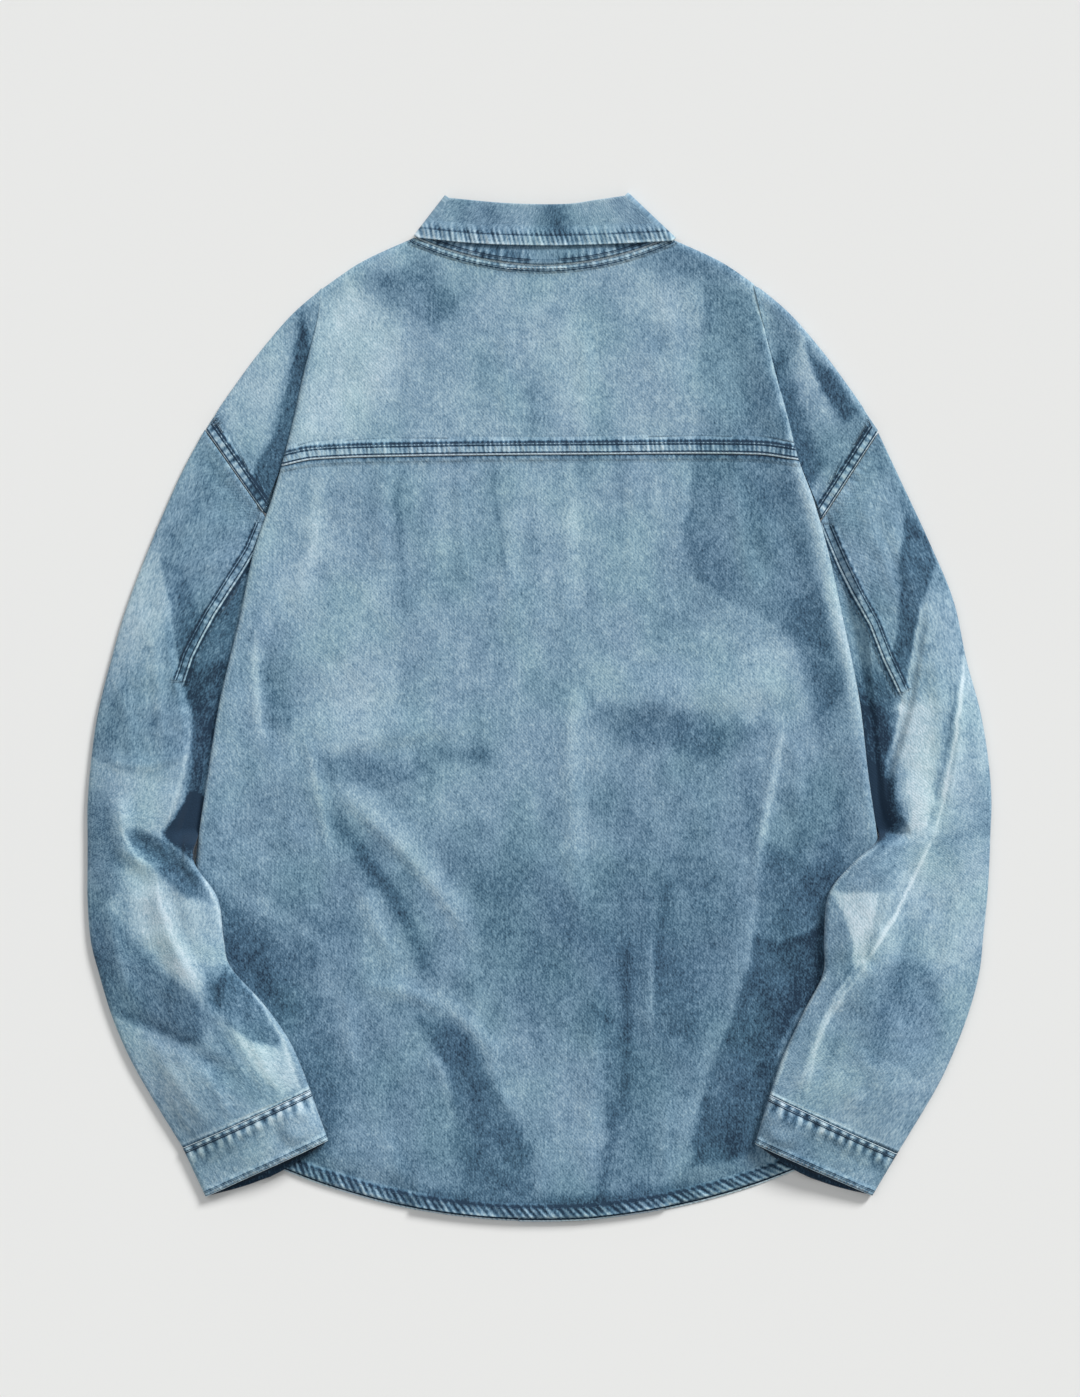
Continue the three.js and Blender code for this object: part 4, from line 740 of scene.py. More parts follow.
@dataclass
class Sewing:
    """The seams of one piece, and what they do to its cloth."""

    runs: tuple[SeamRun, ...] = ()

    def rise(self, x: Array, y: Array) -> Array:
        """Return how far the seams' bands stand proud."""
        total = np.zeros(np.shape(x))
        for run in self.runs:
            distance, _, _ = run.read(x, y)
            band = ease(-0.6, 0.7, distance) * (1 - ease(run.wide - 0.8, run.wide + 1.4, distance))
            past = ease(run.wide - 1, run.wide + 1, distance) * (1 - ease(run.wide + 1, run.wide + 5, distance))
            total = total + run.proud * (band - 0.35 * past)
        return total

    def maps(self, x: Array, y: Array) -> tuple[Array, Array]:
        """Work out the maps that the denim reads beside seams.

        Args:
            x: Places across.
            y: Places along.

        Returns:
            Seam map in metres, with every band scaled to the same width, and strength of the puckers.
        """
        shape = np.shape(x)
        seam, bars, nearest = np.zeros(shape + (2,)), np.zeros(shape), np.full(shape, np.inf)
        for run in self.runs:
            distance, along, near = run.read(x, y)
            beside = np.where(distance > 0, distance, -1.6 * distance)
            closer = (beside < nearest) & (near > 0)
            nearest = np.where(closer, beside, nearest)
            seam[..., 0] = np.where(closer, run.pace * (along + run.slant * distance) * MM, seam[..., 0])
            banded = np.where(distance > 0, distance * SEAM_BAND / run.wide, distance)
            banded = banded if run.lined else -20 - np.abs(distance)
            seam[..., 1] = np.where(closer, banded * MM, seam[..., 1])
            bars = np.where(closer, run.bars * near, bars)
        return seam, bars


# Meshes


def linked(name: str, data: ID) -> Object:
    """Return a new object in the scene that holds some data."""
    made = bpy.data.objects.new(name, data)
    bpy.context.scene.collection.objects.link(made)
    return made


def joined_up(name: str, points: Sequence, edges: Sequence, faces: Sequence) -> Object:
    """Return a new object in the scene, made of points, edges and faces."""
    mesh = bpy.data.meshes.new(name)
    mesh.from_pydata(points, edges, faces)
    return linked(name, mesh)


def finished_mesh(carrier: Object) -> Mesh:
    """Return a plain mesh of an object with its modifiers applied."""
    graph = bpy.context.evaluated_depsgraph_get()
    return bpy.data.meshes.new_from_object(carrier.evaluated_get(graph))


def settle(piece: Object, node: str | None) -> Object:
    """Tie a finished piece to the frame.

    Args:
        piece: The piece.
        node: Solid that it stands for, or None.

    Returns:
        The piece.
    """
    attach(piece, "root")
    if node:
        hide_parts(node)
    LOG.info("%s: %d faces", piece.name, len(piece.data.polygons))
    return piece


@dataclass(frozen=True)
class Maps:
    """What the denim reads at each point: weave and seam in metres, tone, and strength of the puckers."""

    weave: Array
    seam: Array
    tone: Array
    bars: Array

    def at(self, points: Array) -> "Maps":
        """Return the maps read at numbered points of their grid."""
        whole = (self.weave, self.seam, self.tone, self.bars)
        return Maps(*(values.reshape((-1,) + values.shape[2:])[points] for values in whole))

    def write(self, mesh: Mesh, corners: Array) -> None:
        """Write the maps into a mesh, given the point at each corner of its faces."""
        for name, values in (("Weave", self.weave), ("Seam", self.seam)):
            layer = mesh.uv_layers.new(name=name)
            layer.data.foreach_set("uv", values[corners].astype(np.float32).ravel())
        for name, values in (("tone", self.tone), ("bars", self.bars)):
            layer = mesh.attributes.new(name, "FLOAT", "POINT")
            layer.data.foreach_set("value", values.astype(np.float32))


@dataclass
class Shell:
    """A closed wall of cloth, in millimetres, with the maps that its material reads."""

    points: Array
    faces: Array
    maps: Maps

    def make(self, node: str, material: Material) -> Object:
        """Make the piece of cloth that stands for a solid.

        Args:
            node: Name of the solid.
            material: Finish of the cloth.

        Returns:
            The piece, with its faces outward, tied to the frame.
        """
        a, b, c, d = (self.points[self.faces[:, i]] for i in range(4))
        volume = (a * np.cross(b, c)).sum() + (a * np.cross(c, d)).sum()
        faces = self.faces if volume > 0 else self.faces[:, ::-1]
        mesh = bpy.data.meshes.new(node + "_cloth")
        count, face_count = len(self.points), len(faces)
        moved = (self.points + np.array([SHIFT_X, SHIFT_Y, 0])) * MM
        mesh.vertices.add(count)
        mesh.vertices.foreach_set("co", moved.astype(np.float32).ravel())
        mesh.loops.add(4 * face_count)
        mesh.loops.foreach_set("vertex_index", faces.astype(np.int32).ravel())
        mesh.polygons.add(face_count)
        mesh.polygons.foreach_set("loop_start", np.arange(0, 4 * face_count, 4, dtype=np.int32))
        mesh.update(calc_edges=True)
        mesh.polygons.foreach_set("use_smooth", np.ones(face_count, bool))
        self.maps.write(mesh, faces.ravel())
        mesh.materials.append(material)
        mesh.validate()
        return settle(linked(node + "_cloth", mesh), node)


def grid_normals(grid: Array) -> Array:
    """Return the unit normals of a grid of points, from its neighbours."""
    across = np.gradient(grid, axis=1)
    along = np.gradient(grid, axis=0)
    normals = np.cross(across, along)
    return normals / np.maximum(np.linalg.norm(normals, axis=2, keepdims=True), 1e-9)


def offset_grid(grid: Array, distance: float) -> Array:
    """Return the same grid moved along its normals."""
    return grid + distance * grid_normals(grid)


def cloth_below(grid: Array) -> Array:
    """Return the grid moved in by the cloth's thickness, straight down at its rim."""
    lower = offset_grid(grid, -CLOTH)
    if grid_normals(grid)[..., 2].mean() < 0:
        lower = offset_grid(grid, CLOTH)
    down = grid - np.array([0, 0, CLOTH])
    for part in (np.s_[0], np.s_[-1], np.s_[:, 0], np.s_[:, -1]):
        lower[part] = down[part]
    return lower


def slab(upper: Array, lower: Array, maps: Maps) -> Shell:
    """Make a wall between two open grids, with a rounded rim.

    Args:
        upper: Grid of points of one face.
        lower: Grid of points of the other face.
        maps: Maps of the grid.

    Returns:
        The closed wall.
    """
    rows, columns = upper.shape[:2]
    half = rows * columns
    index = np.arange(half).reshape(rows, columns)
    rim = np.concatenate([index[0, :-1], index[:-1, -1], index[-1, :0:-1], index[:0:-1, 0]])
    within = np.concatenate([index[1, :-1], index[:-1, -2], index[-2, :0:-1], index[:0:-1, 1]])
    a, b = index[:-1, :-1].ravel(), index[:-1, 1:].ravel()
    c, d = index[1:, 1:].ravel(), index[1:, :-1].ravel()
    faces = [np.stack([a, b, c, d], 1), half + np.stack([a, d, c, b], 1)]
    flat_upper, flat_lower = upper.reshape(-1, 3), lower.reshape(-1, 3)
    outward = flat_upper[rim] - flat_upper[within]
    outward[:, 2] = 0
    outward /= np.maximum(np.linalg.norm(outward, axis=1, keepdims=True), 1e-6)
    middle = (flat_upper[rim] + flat_lower[rim]) / 2 + outward * 0.1
    mid = 2 * half + np.arange(len(rim))
    p, q, mid_q = rim, np.roll(rim, -1), np.roll(mid, -1)
    faces += [np.stack([q, p, mid, mid_q], 1), np.stack([mid_q, mid, half + p, half + q], 1)]

    points = np.concatenate([flat_upper, flat_lower, middle])
    both = np.concatenate([index.ravel(), index.ravel(), rim])
    return Shell(points, np.concatenate(faces), maps.at(both))


def tube(outer: Array, inner: Array, maps: Maps) -> Shell:
    """Make a wall between two stacks of closed rings, open at both ends.

    Args:
        outer: Rings of the outer face.
        inner: Rings of the inner face.
        maps: Maps of the rings.

    Returns:
        The closed wall.
    """
    rings, around = outer.shape[:2]
    half = rings * around
    index = np.arange(half).reshape(rings, around)
    turned = np.roll(index, -1, axis=1)
    a, b, c, d = index[:-1].ravel(), turned[:-1].ravel(), turned[1:].ravel(), index[1:].ravel()
    faces = [np.stack([a, b, c, d], 1), half + np.stack([a, d, c, b], 1),
             np.stack([turned[0], index[0], half + index[0], half + turned[0]], 1),
             np.stack([index[-1], turned[-1], half + turned[-1], half + index[-1]], 1)]

    points = np.concatenate([outer.reshape(-1, 3), inner.reshape(-1, 3)])
    return Shell(points, np.concatenate(faces), maps.at(np.concatenate([index.ravel(), index.ravel()])))


def steps_with_edges(length: float, step: float, near: Sequence[float], far: Sequence[float]) -> Array:
    """Return places along a length, closer together at its two ends.

    Args:
        length: The whole length.
        step: Distance between places away from the ends.
        near: Distances of the first places from the start.
        far: Distances of the last places from the end, from far to near.

    Returns:
        Places as shares of the length, from 0 to 1.
    """
    first, last = near[-1], length - far[0]
    count = max(int(round((last - first) / step)), 2)
    inner = np.linspace(first, last, count + 1)[1:-1]
    return np.concatenate([near, inner, length - np.asarray(far)]) / length


EDGE_STEPS = (0, 0.4, 1, 1.8, 2.8, 4, 5.4, 7, 9, 11.4)
BAND_STEPS = (0, 0.7, 1.5, 2.4, 3.6, 5, 6.5, 8, 9, 10, 11, 12.4, 14.2)

# Finishes


def linear(hex_colour: str) -> tuple[float, float, float, float]:
    """Return the linear colour of an sRGB hex value."""
    parts = [int(hex_colour[i:i + 2], 16) / 255 for i in (1, 3, 5)]
    curved = [p / 12.92 if p <= 0.04045 else ((p + 0.055) / 1.055) ** 2.4 for p in parts]
    return (curved[0], curved[1], curved[2], 1.0)


def add_node(tree: NodeTree, kind: str, settings: dict | None = None, inputs: dict | None = None,
             stops: Sequence[tuple[float, tuple[float, ...]]] = ()) -> Node:
    """Add a node with its settings and links.

    Args:
        tree: Tree that gets the node.
        kind: Its type.
        settings: Properties to set.
        inputs: Values or sockets for its inputs, by name or number.
        stops: Places and linear colours of its ramp, where it has one.

    Returns:
        The node.
    """
    node = tree.nodes.new(kind)
    for key, value in (settings or {}).items():
        setattr(node, key, value)
    for key, value in (inputs or {}).items():
        if isinstance(value, NodeSocket):
            tree.links.new(value, node.inputs[key])
        else:
            node.inputs[key].default_value = value
    elements = node.color_ramp.elements if stops else ()
    while len(elements) < len(stops):
        elements.new(0.5)
    for element, (place, _) in zip(elements, stops):
        element.position = place
    for element, (_, colour) in zip(elements, stops):
        element.color = colour
    return node


def empty_material(name: str) -> tuple[Material, NodeTree, Node]:
    """Return a new material, its tree and its shader."""
    material = bpy.data.materials.new(name)
    material.use_nodes = True
    tree = material.node_tree
    return material, tree, tree.nodes["Principled BSDF"]


# Distance between the bands of a wave texture whose scale is 1
WAVE_APART = 0.314


@dataclass(frozen=True)
class DenimFinish:
    """Indigo cotton twill, washed with stones until the white weft shows through.

    The warp is dyed only on its surface, so wear gives a grainy mix of blue and white, paler on every
    crest and seam and deeper in the troughs. It scatters light softly, with a faint nap at grazing angles.
    """

    name: str = "stone_washed_cotton_denim"
    deepest: str = "#1E3448"
    deep: str = "#496A82"
    middle: str = "#7C9BB0"
    pale: str = "#A9C3CF"
    palest: str = "#CDDFE8"
    slub_wide: float = 1.9
    slub_long: float = 5.2
    speck: float = 1.25
    blotch: float = 9.0
    # The real twill ribs are 0.7 mm apart, under a pixel here, so they are drawn twice as far apart
    twill: float = 1.4
    pucker: float = 5.0
    cast: float = 60.0
    green_cast: str = "#FBFFFC"
    lilac_cast: str = "#FFFDFF"
    bar: float = 3.6
    slub_tone: float = 0.62
    speck_tone: float = 0.5
    blotch_tone: float = 0.24
    twill_tone: float = 0.03
    tick_tone: float = 0.42
    line_tone: float = 2.2
    # Tone across a seam: distance from its edge in millimetres, and 0 for dark to 1 for pale. The dark line
    # just outside the edge is painted shadow under the raised band
    seam_tones: tuple[tuple[float, float], ...] = (
        (-4, 0.5), (-2.2, 0.4), (-0.9, 0.1), (-0.2, 0.4), (0.2, 0.86), (1.2, 0.78), (1.6, 0.18), (2.4, 0.18),
        (2.9, 0.54), (6.8, 0.5), (7.3, 0.16), (8.1, 0.18), (8.8, 0.66), (9.5, 0.18), (10.5, 0.2), (12, 0.5))

    def make(self) -> Material:
        """Build the material."""
        material, tree, shader = empty_material(self.name)
        weave = add_node(tree, "ShaderNodeUVMap", {"uv_map": "Weave"}).outputs[0]
        seam = add_node(tree, "ShaderNodeUVMap", {"uv_map": "Seam"}).outputs[0]
        tone = add_node(tree, "ShaderNodeAttribute", {"attribute_name": "tone"}).outputs["Fac"]
        bars = add_node(tree, "ShaderNodeAttribute", {"attribute_name": "bars"}).outputs["Fac"]

        def cloud(source: NodeSocket, wide: float, long: float, detail: float) -> NodeSocket:
            """Return noise with hills of a width and a length in millimetres."""
            scaled = add_node(tree, "ShaderNodeMapping", inputs={
                "Vector": source, "Scale": (1 / (wide * MM), 1 / (long * MM), 1)})
            return add_node(tree, "ShaderNodeTexNoise", inputs={
                "Vector": scaled.outputs[0], "Scale": 1.0, "Detail": detail, "Roughness": 0.6}).outputs["Fac"]

        def weigh(value: NodeSocket, weight: float | NodeSocket,
                  onto: float | NodeSocket) -> NodeSocket:
            """Return onto plus weight times how far the value is from a half."""
            off = add_node(tree, "ShaderNodeMath", {"operation": "SUBTRACT"}, {0: value, 1: 0.5}).outputs[0]
            return add_node(tree, "ShaderNodeMath", {"operation": "MULTIPLY_ADD"},
                            {0: off, 1: weight, 2: onto}).outputs[0]

        slub = cloud(weave, self.slub_wide, self.slub_long, 2.0)
        speck = cloud(weave, self.speck, 1.5 * self.speck, 1.0)
        blotch = cloud(weave, self.blotch, 1.4 * self.blotch, 2.0)
        folds = cloud(seam, self.pucker, 5 * self.pucker, 1.0)
        twill = add_node(tree, "ShaderNodeTexWave", {"bands_direction": "DIAGONAL"}, {
            "Vector": weave, "Scale": WAVE_APART / (self.twill * MM), "Distortion": 1.5,
            "Detail": 1.0}).outputs["Fac"]
        drawn_out = add_node(tree, "ShaderNodeMapping", inputs={
            "Vector": seam, "Scale": (1, 0.14, 1)}).outputs[0]
        ticks = add_node(tree, "ShaderNodeTexWave", {"bands_direction": "X"}, {
            "Vector": drawn_out, "Scale": WAVE_APART / (self.bar * MM), "Distortion": 3.2, "Detail": 1.0,
            "Detail Scale": 0.8}).outputs["Fac"]
        across = add_node(tree, "ShaderNodeSeparateXYZ", inputs={0: seam}).outputs[1]
        first, last = self.seam_tones[0][0], self.seam_tones[-1][0]
        placed = add_node(tree, "ShaderNodeMapRange", inputs={
            "Value": across, "From Min": first * MM, "From Max": last * MM}).outputs[0]
        lines = add_node(tree, "ShaderNodeValToRGB", inputs={0: placed}, stops=[
            ((at - first) / (last - first), (grey, grey, grey, 1)) for at, grey in self.seam_tones]).outputs[0]
        shade = add_node(tree, "ShaderNodeMath", {"operation": "ADD"}, {0: tone, 1: 0.5}).outputs[0]
        for pattern, weight in ((slub, self.slub_tone), (speck, self.speck_tone), (blotch, self.blotch_tone),
                                (twill, self.twill_tone), (folds, bars)):
            shade = weigh(pattern, weight, shade)
        squared = add_node(tree, "ShaderNodeMath", {"operation": "MULTIPLY"}, {0: bars, 1: bars}).outputs[0]
        marked = add_node(tree, "ShaderNodeMath", {"operation": "MULTIPLY"}, {
            0: squared, 1: self.tick_tone}).outputs[0]
        shade = weigh(ticks, marked, shade)
        firm = add_node(tree, "ShaderNodeMath", {"operation": "MULTIPLY"}, {
            0: bars, 1: self.line_tone}).outputs[0]
        shade = weigh(lines, firm, shade)
        stops = ((0.0, self.deepest), (0.25, self.deep), (0.5, self.middle), (0.75, self.pale),
                 (1.0, self.palest))
        colour = add_node(tree, "ShaderNodeValToRGB", inputs={0: shade}, stops=[
            (place, linear(code)) for place, code in stops]).outputs[0]
        tinge = cloud(weave, self.cast, 1.3 * self.cast, 1.0)
        cast = add_node(tree, "ShaderNodeValToRGB", inputs={0: tinge}, stops=(
            (0.36, linear(self.green_cast)), (0.5, (1, 1, 1, 1)), (0.64, linear(self.lilac_cast)))).outputs[0]
        colour = add_node(tree, "ShaderNodeMix", {"data_type": "RGBA", "blend_type": "MULTIPLY"},
                          {"Factor": 1.0, 6: colour, 7: cast}).outputs[2]
        relief = weigh(slub, 0.8, 0.5)
        relief = weigh(speck, 0.6, relief)
        relief = weigh(twill, 0.16, relief)
        fine = add_node(tree, "ShaderNodeBump", inputs={
            "Height": relief, "Strength": 0.75, "Distance": 0.5 * MM})
        raised = add_node(tree, "ShaderNodeMath", {"operation": "MULTIPLY"}, {0: folds, 1: bars}).outputs[0]
        coarse = add_node(tree, "ShaderNodeBump", inputs={
            "Height": raised, "Strength": 1.0, "Distance": 3.2 * MM, "Normal": fine.outputs[0]})
        tree.links.new(colour, shader.inputs["Base Color"])
        tree.links.new(coarse.outputs[0], shader.inputs["Normal"])
        shader.inputs["Roughness"].default_value = 0.92
        shader.inputs["Specular IOR Level"].default_value = 0.22
        shader.inputs["Sheen Weight"].default_value = 0.12
        shader.inputs["Sheen Roughness"].default_value = 0.5
        return material


@dataclass(frozen=True)
class ThreadFinish:
    """Spun sewing thread, faded with the cloth: matt, with a slight twist that breaks up its colour."""

    name: str
    colour: str
    shade: str
    ply: float = 0.9

    def make(self) -> Material:
        """Build the material."""
        material, tree, shader = empty_material(self.name)
        place = add_node(tree, "ShaderNodeTexCoord").outputs["Object"]
        ply = add_node(tree, "ShaderNodeTexNoise", inputs={
            "Vector": place, "Scale": 1 / (self.ply * MM), "Detail": 1.0}).outputs["Fac"]
        ramp = add_node(tree, "ShaderNodeValToRGB", inputs={0: ply},
                        stops=((0.3, linear(self.shade)), (0.7, linear(self.colour))))
        bump = add_node(tree, "ShaderNodeBump", inputs={"Height": ply, "Strength": 0.4, "Distance": 0.1 * MM})
        tree.links.new(ramp.outputs[0], shader.inputs["Base Color"])
        tree.links.new(bump.outputs[0], shader.inputs["Normal"])
        shader.inputs["Roughness"].default_value = 0.75
        return material


@dataclass(frozen=True)
class ResinFinish:
    """Cast and tumbled polyester resin, as in plain shirt buttons: smoky, faintly marbled, half glossy."""

    name: str = "cast_resin_button"
    colour: str = "#4A5560"
    vein: str = "#2B333C"
    vein_size: float = 3.0

    def make(self) -> Material:
        """Build the material."""
        material, tree, shader = empty_material(self.name)
        place = add_node(tree, "ShaderNodeTexCoord").outputs["Object"]
        veins = add_node(tree, "ShaderNodeTexNoise", inputs={
            "Vector": place, "Scale": 1 / (self.vein_size * MM), "Detail": 3.0,
            "Distortion": 1.2}).outputs["Fac"]
        ramp = add_node(tree, "ShaderNodeValToRGB", inputs={0: veins},
                        stops=((0.35, linear(self.vein)), (0.65, linear(self.colour))))
        rough = add_node(tree, "ShaderNodeMapRange", inputs={
            "Value": veins, "To Min": 0.28, "To Max": 0.42}).outputs[0]
        tree.links.new(ramp.outputs[0], shader.inputs["Base Color"])
        tree.links.new(rough, shader.inputs["Roughness"])
        return material


@dataclass(frozen=True)
class BackdropFinish:
    """Matt pale paper roll, with a barely seen unevenness of its coating."""

    name: str = "matt_paper_backdrop"
    colour: str = "#EAEAE8"
    haze: str = "#ECECEA"

    def make(self) -> Material:
        """Build the material."""
        material, tree, shader = empty_material(self.name)
        place = add_node(tree, "ShaderNodeTexCoord").outputs["Object"]
        haze = add_node(tree, "ShaderNodeTexNoise", inputs={
            "Vector": place, "Scale": 2.0, "Detail": 2.0}).outputs["Fac"]
        tint = add_node(tree, "ShaderNodeMix", {"data_type": "RGBA"}, {
            "Factor": haze, 6: linear(self.colour), 7: linear(self.haze)})
        tree.links.new(tint.outputs[2], shader.inputs["Base Color"])
        shader.inputs["Roughness"].default_value = 1.0
        shader.inputs["Specular IOR Level"].default_value = 0.1
        return material


@dataclass
class Finishes:
    """The finishes of the shirt."""

    denim: Material = field(default_factory=lambda: DenimFinish().make())
    thread: Material = field(
        default_factory=lambda: ThreadFinish("faded_cotton_thread", "#54708A", "#2F465C").make())
    white_thread: Material = field(
        default_factory=lambda: ThreadFinish("undyed_cotton_thread", "#DCE3E4", "#B9C6CC").make())
    tan_thread: Material = field(
        default_factory=lambda: ThreadFinish("tan_core_spun_thread", "#8E867C", "#5F6063").make())
    resin: Material = field(default_factory=lambda: ResinFinish().make())


# Pieces


def stitch_tree(material: Material) -> NodeTree:
    """Build the tree that lays stitches along a line.

    Args:
        material: Finish of the thread.

    Returns:
        The tree, with inputs for the pitch, length and thickness of a stitch.
    """
    tree = bpy.data.node_groups.new("lockstitch_" + material.name, "GeometryNodeTree")
    tree.interface.new_socket("Geometry", in_out="INPUT", socket_type="NodeSocketGeometry")
    for name, value in (("Pitch", 3.3 * MM), ("Length", 2.5 * MM), ("Thickness", 0.5 * MM)):
        tree.interface.new_socket(name, in_out="INPUT", socket_type="NodeSocketFloat").default_value = value
    tree.interface.new_socket("Geometry", in_out="OUTPUT", socket_type="NodeSocketGeometry")
    source = add_node(tree, "NodeGroupInput")
    half_length = add_node(tree, "ShaderNodeMath", {"operation": "MULTIPLY"},
                           {0: source.outputs["Length"], 1: 0.5}).outputs[0]
    half_thick = add_node(tree, "ShaderNodeMath", {"operation": "MULTIPLY"},
                          {0: source.outputs["Thickness"], 1: 0.5}).outputs[0]
    size = add_node(tree, "ShaderNodeCombineXYZ", inputs={
        0: half_length, 1: half_thick, 2: half_thick}).outputs[0]
    bead = add_node(tree, "GeometryNodeMeshUVSphere", inputs={"Segments": 6, "Rings": 5, "Radius": 1.0})
    laid = add_node(tree, "GeometryNodeTransform", inputs={"Geometry": bead.outputs["Mesh"], "Scale": size})
    line = add_node(tree, "GeometryNodeMeshToCurve", inputs={0: source.outputs["Geometry"]})
    even = add_node(tree, "GeometryNodeResampleCurve", {"mode": "LENGTH"}, {
        "Curve": line.outputs[0], "Length": source.outputs["Pitch"]})
    tangent = add_node(tree, "GeometryNodeInputTangent").outputs[0]
    lean = add_node(tree, "FunctionNodeRandomValue", {"data_type": "FLOAT"}, {
        2: -0.06, 3: 0.06, "Seed": 11}).outputs[1]
    leaning = add_node(tree, "ShaderNodeCombineXYZ", inputs={0: lean, 1: lean, 2: 0.0}).outputs[0]
    aimed = add_node(tree, "ShaderNodeVectorMath", {"operation": "ADD"}, {0: tangent, 1: leaning}).outputs[0]
    turned = add_node(tree, "FunctionNodeAlignRotationToVector", {"axis": "X"}, {"Vector": aimed}).outputs[0]
    placed = add_node(tree, "GeometryNodeInstanceOnPoints", inputs={
        "Points": even.outputs[0], "Instance": laid.outputs[0], "Rotation": turned})
    real = add_node(tree, "GeometryNodeRealizeInstances", inputs={0: placed.outputs[0]})
    smooth = add_node(tree, "GeometryNodeSetShadeSmooth", inputs={0: real.outputs[0]})
    dressed = add_node(tree, "GeometryNodeSetMaterial", inputs={
        "Geometry": smooth.outputs[0], "Material": material})
    add_node(tree, "NodeGroupOutput", inputs={0: dressed.outputs[0]})
    return tree


@dataclass
class StitchRows:
    """Rows of stitches laid on one piece of cloth."""

    name: str
    thread: Material
    rows: tuple[tuple[Array, Array], ...]
    pitch: float = 3.3
    length: float = 2.9
    thick: float = 0.42
    sink: float = 0.12

    def make(self, cloth: Object) -> Object | None:
        """Lay the rows on the cloth from above.

        Args:
            cloth: Piece that they are sewn into.

        Returns:
            The piece of thread, or None where no row meets the cloth.
        """
        points: list[tuple[float, float, float]] = []
        edges: list[tuple[int, int]] = []
        for xs, ys in self.rows:
            joined = False
            for x, y in zip(xs, ys):
                start = ((x + SHIFT_X) * MM, (y + SHIFT_Y) * MM, 1.0)
                hit, spot, _, _ = cloth.ray_cast(start, (0, 0, -1))
                if hit:
                    points.append((spot.x, spot.y, spot.z + (self.thick / 2 - self.sink) * MM))
                    if joined:
                        edges.append((len(points) - 2, len(points) - 1))
                joined = hit
        if not edges:
            return None
        carrier = joined_up(self.name + "_line", points, edges, [])
        modifier = carrier.modifiers.new("stitches", "NODES")
        tree = stitch_tree(self.thread)
        modifier.node_group = tree
        sizes = {"Pitch": self.pitch, "Length": self.length, "Thickness": self.thick}
        for item in tree.interface.items_tree:
            if item.in_out == "INPUT" and item.name in sizes:
                modifier[item.identifier] = sizes[item.name] * MM
        made = finished_mesh(carrier)
        bpy.data.objects.remove(carrier)
        return settle(linked(self.name, made), None)


def line_between(x0: float, y0: float, x1: float, y1: float, count: int = 60) -> tuple[Array, Array]:
    """Return the corners of a straight line cut into short pieces."""
    return np.linspace(x0, x1, count), np.linspace(y0, y1, count)


@dataclass
class BackPanel:
    """The back below the yoke, with its rolled and roped shirt-tail hem."""

    body: BodyForm
    step: float = 3.1
    hem_rows: tuple[float, ...] = (
        16, 14.4, 13, 11.8, 10.6, 9.6, 8.6, 7.6, 6.6, 5.6, 4.6, 3.6, 2.6, 1.7, 0.9, 0.35, 0)
    cut_wide: float = 0.565
    cut_long: float = 0.6

    def build(self, finishes: Finishes) -> Object:
        """Build the cloth and its stitches."""
        body = self.body
        low_y = BODY_SIDES.column("y")[-1]
        left, right = float(body.left(low_y)), float(body.right(low_y))
        across = steps_with_edges(right - left, self.step, EDGE_STEPS, EDGE_STEPS[::-1])
        hem_x = mix(left, right, across)
        seam_x = mix(float(body.left(YOKE_END_Y)), float(body.right(YOKE_END_Y)), across)
        seam_y = body.seam(seam_x) - 1.5 * SEAM_GAP
        hem_y = body.hem(hem_x)
        reach = float((seam_y - hem_y).max()) - self.hem_rows[0]
        down = steps_with_edges(reach, self.step, (0, 0.5, 1.2, 2.1, 3.2, 4.6, 6.4), (0,))
        rows = [mix(seam_y, hem_y + self.hem_rows[0], share) for share in down]
        rows += [hem_y + step for step in self.hem_rows[1:]]
        y = np.array(rows)[::-1]
        x = mix(body.left(y), body.right(y), across[None, :])
        edge = np.stack([np.linspace(left, right, 90), body.hem(np.linspace(left, right, 90))])
        sewing = Sewing((SeamRun(edge[0], edge[1], 8.2, 0.35, 1.05, 1, 0.9, 4.0, 0.6, False),))
        seam_line = np.linspace(-203, 203, 60)
        above = Sewing((SeamRun(seam_line, body.seam(seam_line) + 0.6, 9.5, 0.0, 0.55, 1, 0, 10.0, 0.8),))
        z = body.top(x, y) + sewing.rise(x, y)
        grid = np.stack([x, y, z], 2)
        (seam, bars), (seam_up, bars_up) = sewing.maps(x, y), above.maps(x, y)
        near_yoke = y > 100
        seam = np.where(near_yoke[..., None], seam_up, seam)
        bars = np.where(near_yoke, bars_up, bars)
        relief = body.creases.rise(x, y) + body.fine_creases.rise(x, y)
        inside = body.inside_fold(x, y)
        # Painted highlight: the cloth is paler along the rolled folded sides, standing in for light on the fold
        # edges
        right_fold_highlight, left_fold_highlight = 0.2 * (1 - ease(5, 13, inside)) * ease(-40, 0, y), 0.1 * (1 - ease(2, 5, inside))
        rim = np.where(x > 0, right_fold_highlight, left_fold_highlight)
        tone = BODY_WASH_AND_SHADING.tone(x, y) + 0.04 * np.clip(relief, -2, 3) - 0.1 * ease(-20, -170, y) + rim
        above_hem = y - body.hem(x)
        near_middle = 1 - ease(80, 150, np.abs(x - 10))
        tone = tone - 0.22 * (1 - ease(10, 22, above_hem)) * ease(6, 9, above_hem) * near_middle
        tone = tone - 0.14 * (1 - ease(7, 10, above_hem)) + mottle(x, y)
        crest, line = np.exp(-((above_hem - 1) / 1.1) ** 2), np.exp(-((above_hem - 8.8) / 1.0) ** 2)
        tone = tone + 0.24 * crest - 0.34 * line
        weave = np.stack([x, y], 2) * MM
        piece = slab(grid, cloth_below(grid), Maps(weave, seam, tone, bars)).make("back_panel", finishes.denim)
        row_x = np.linspace(-270, 270, 400)
        hem_row = (row_x, body.hem(row_x) + 7.4)
        rows_made = StitchRows("back_hem_stitches", finishes.thread, (hem_row,)).make(piece)
        return piece


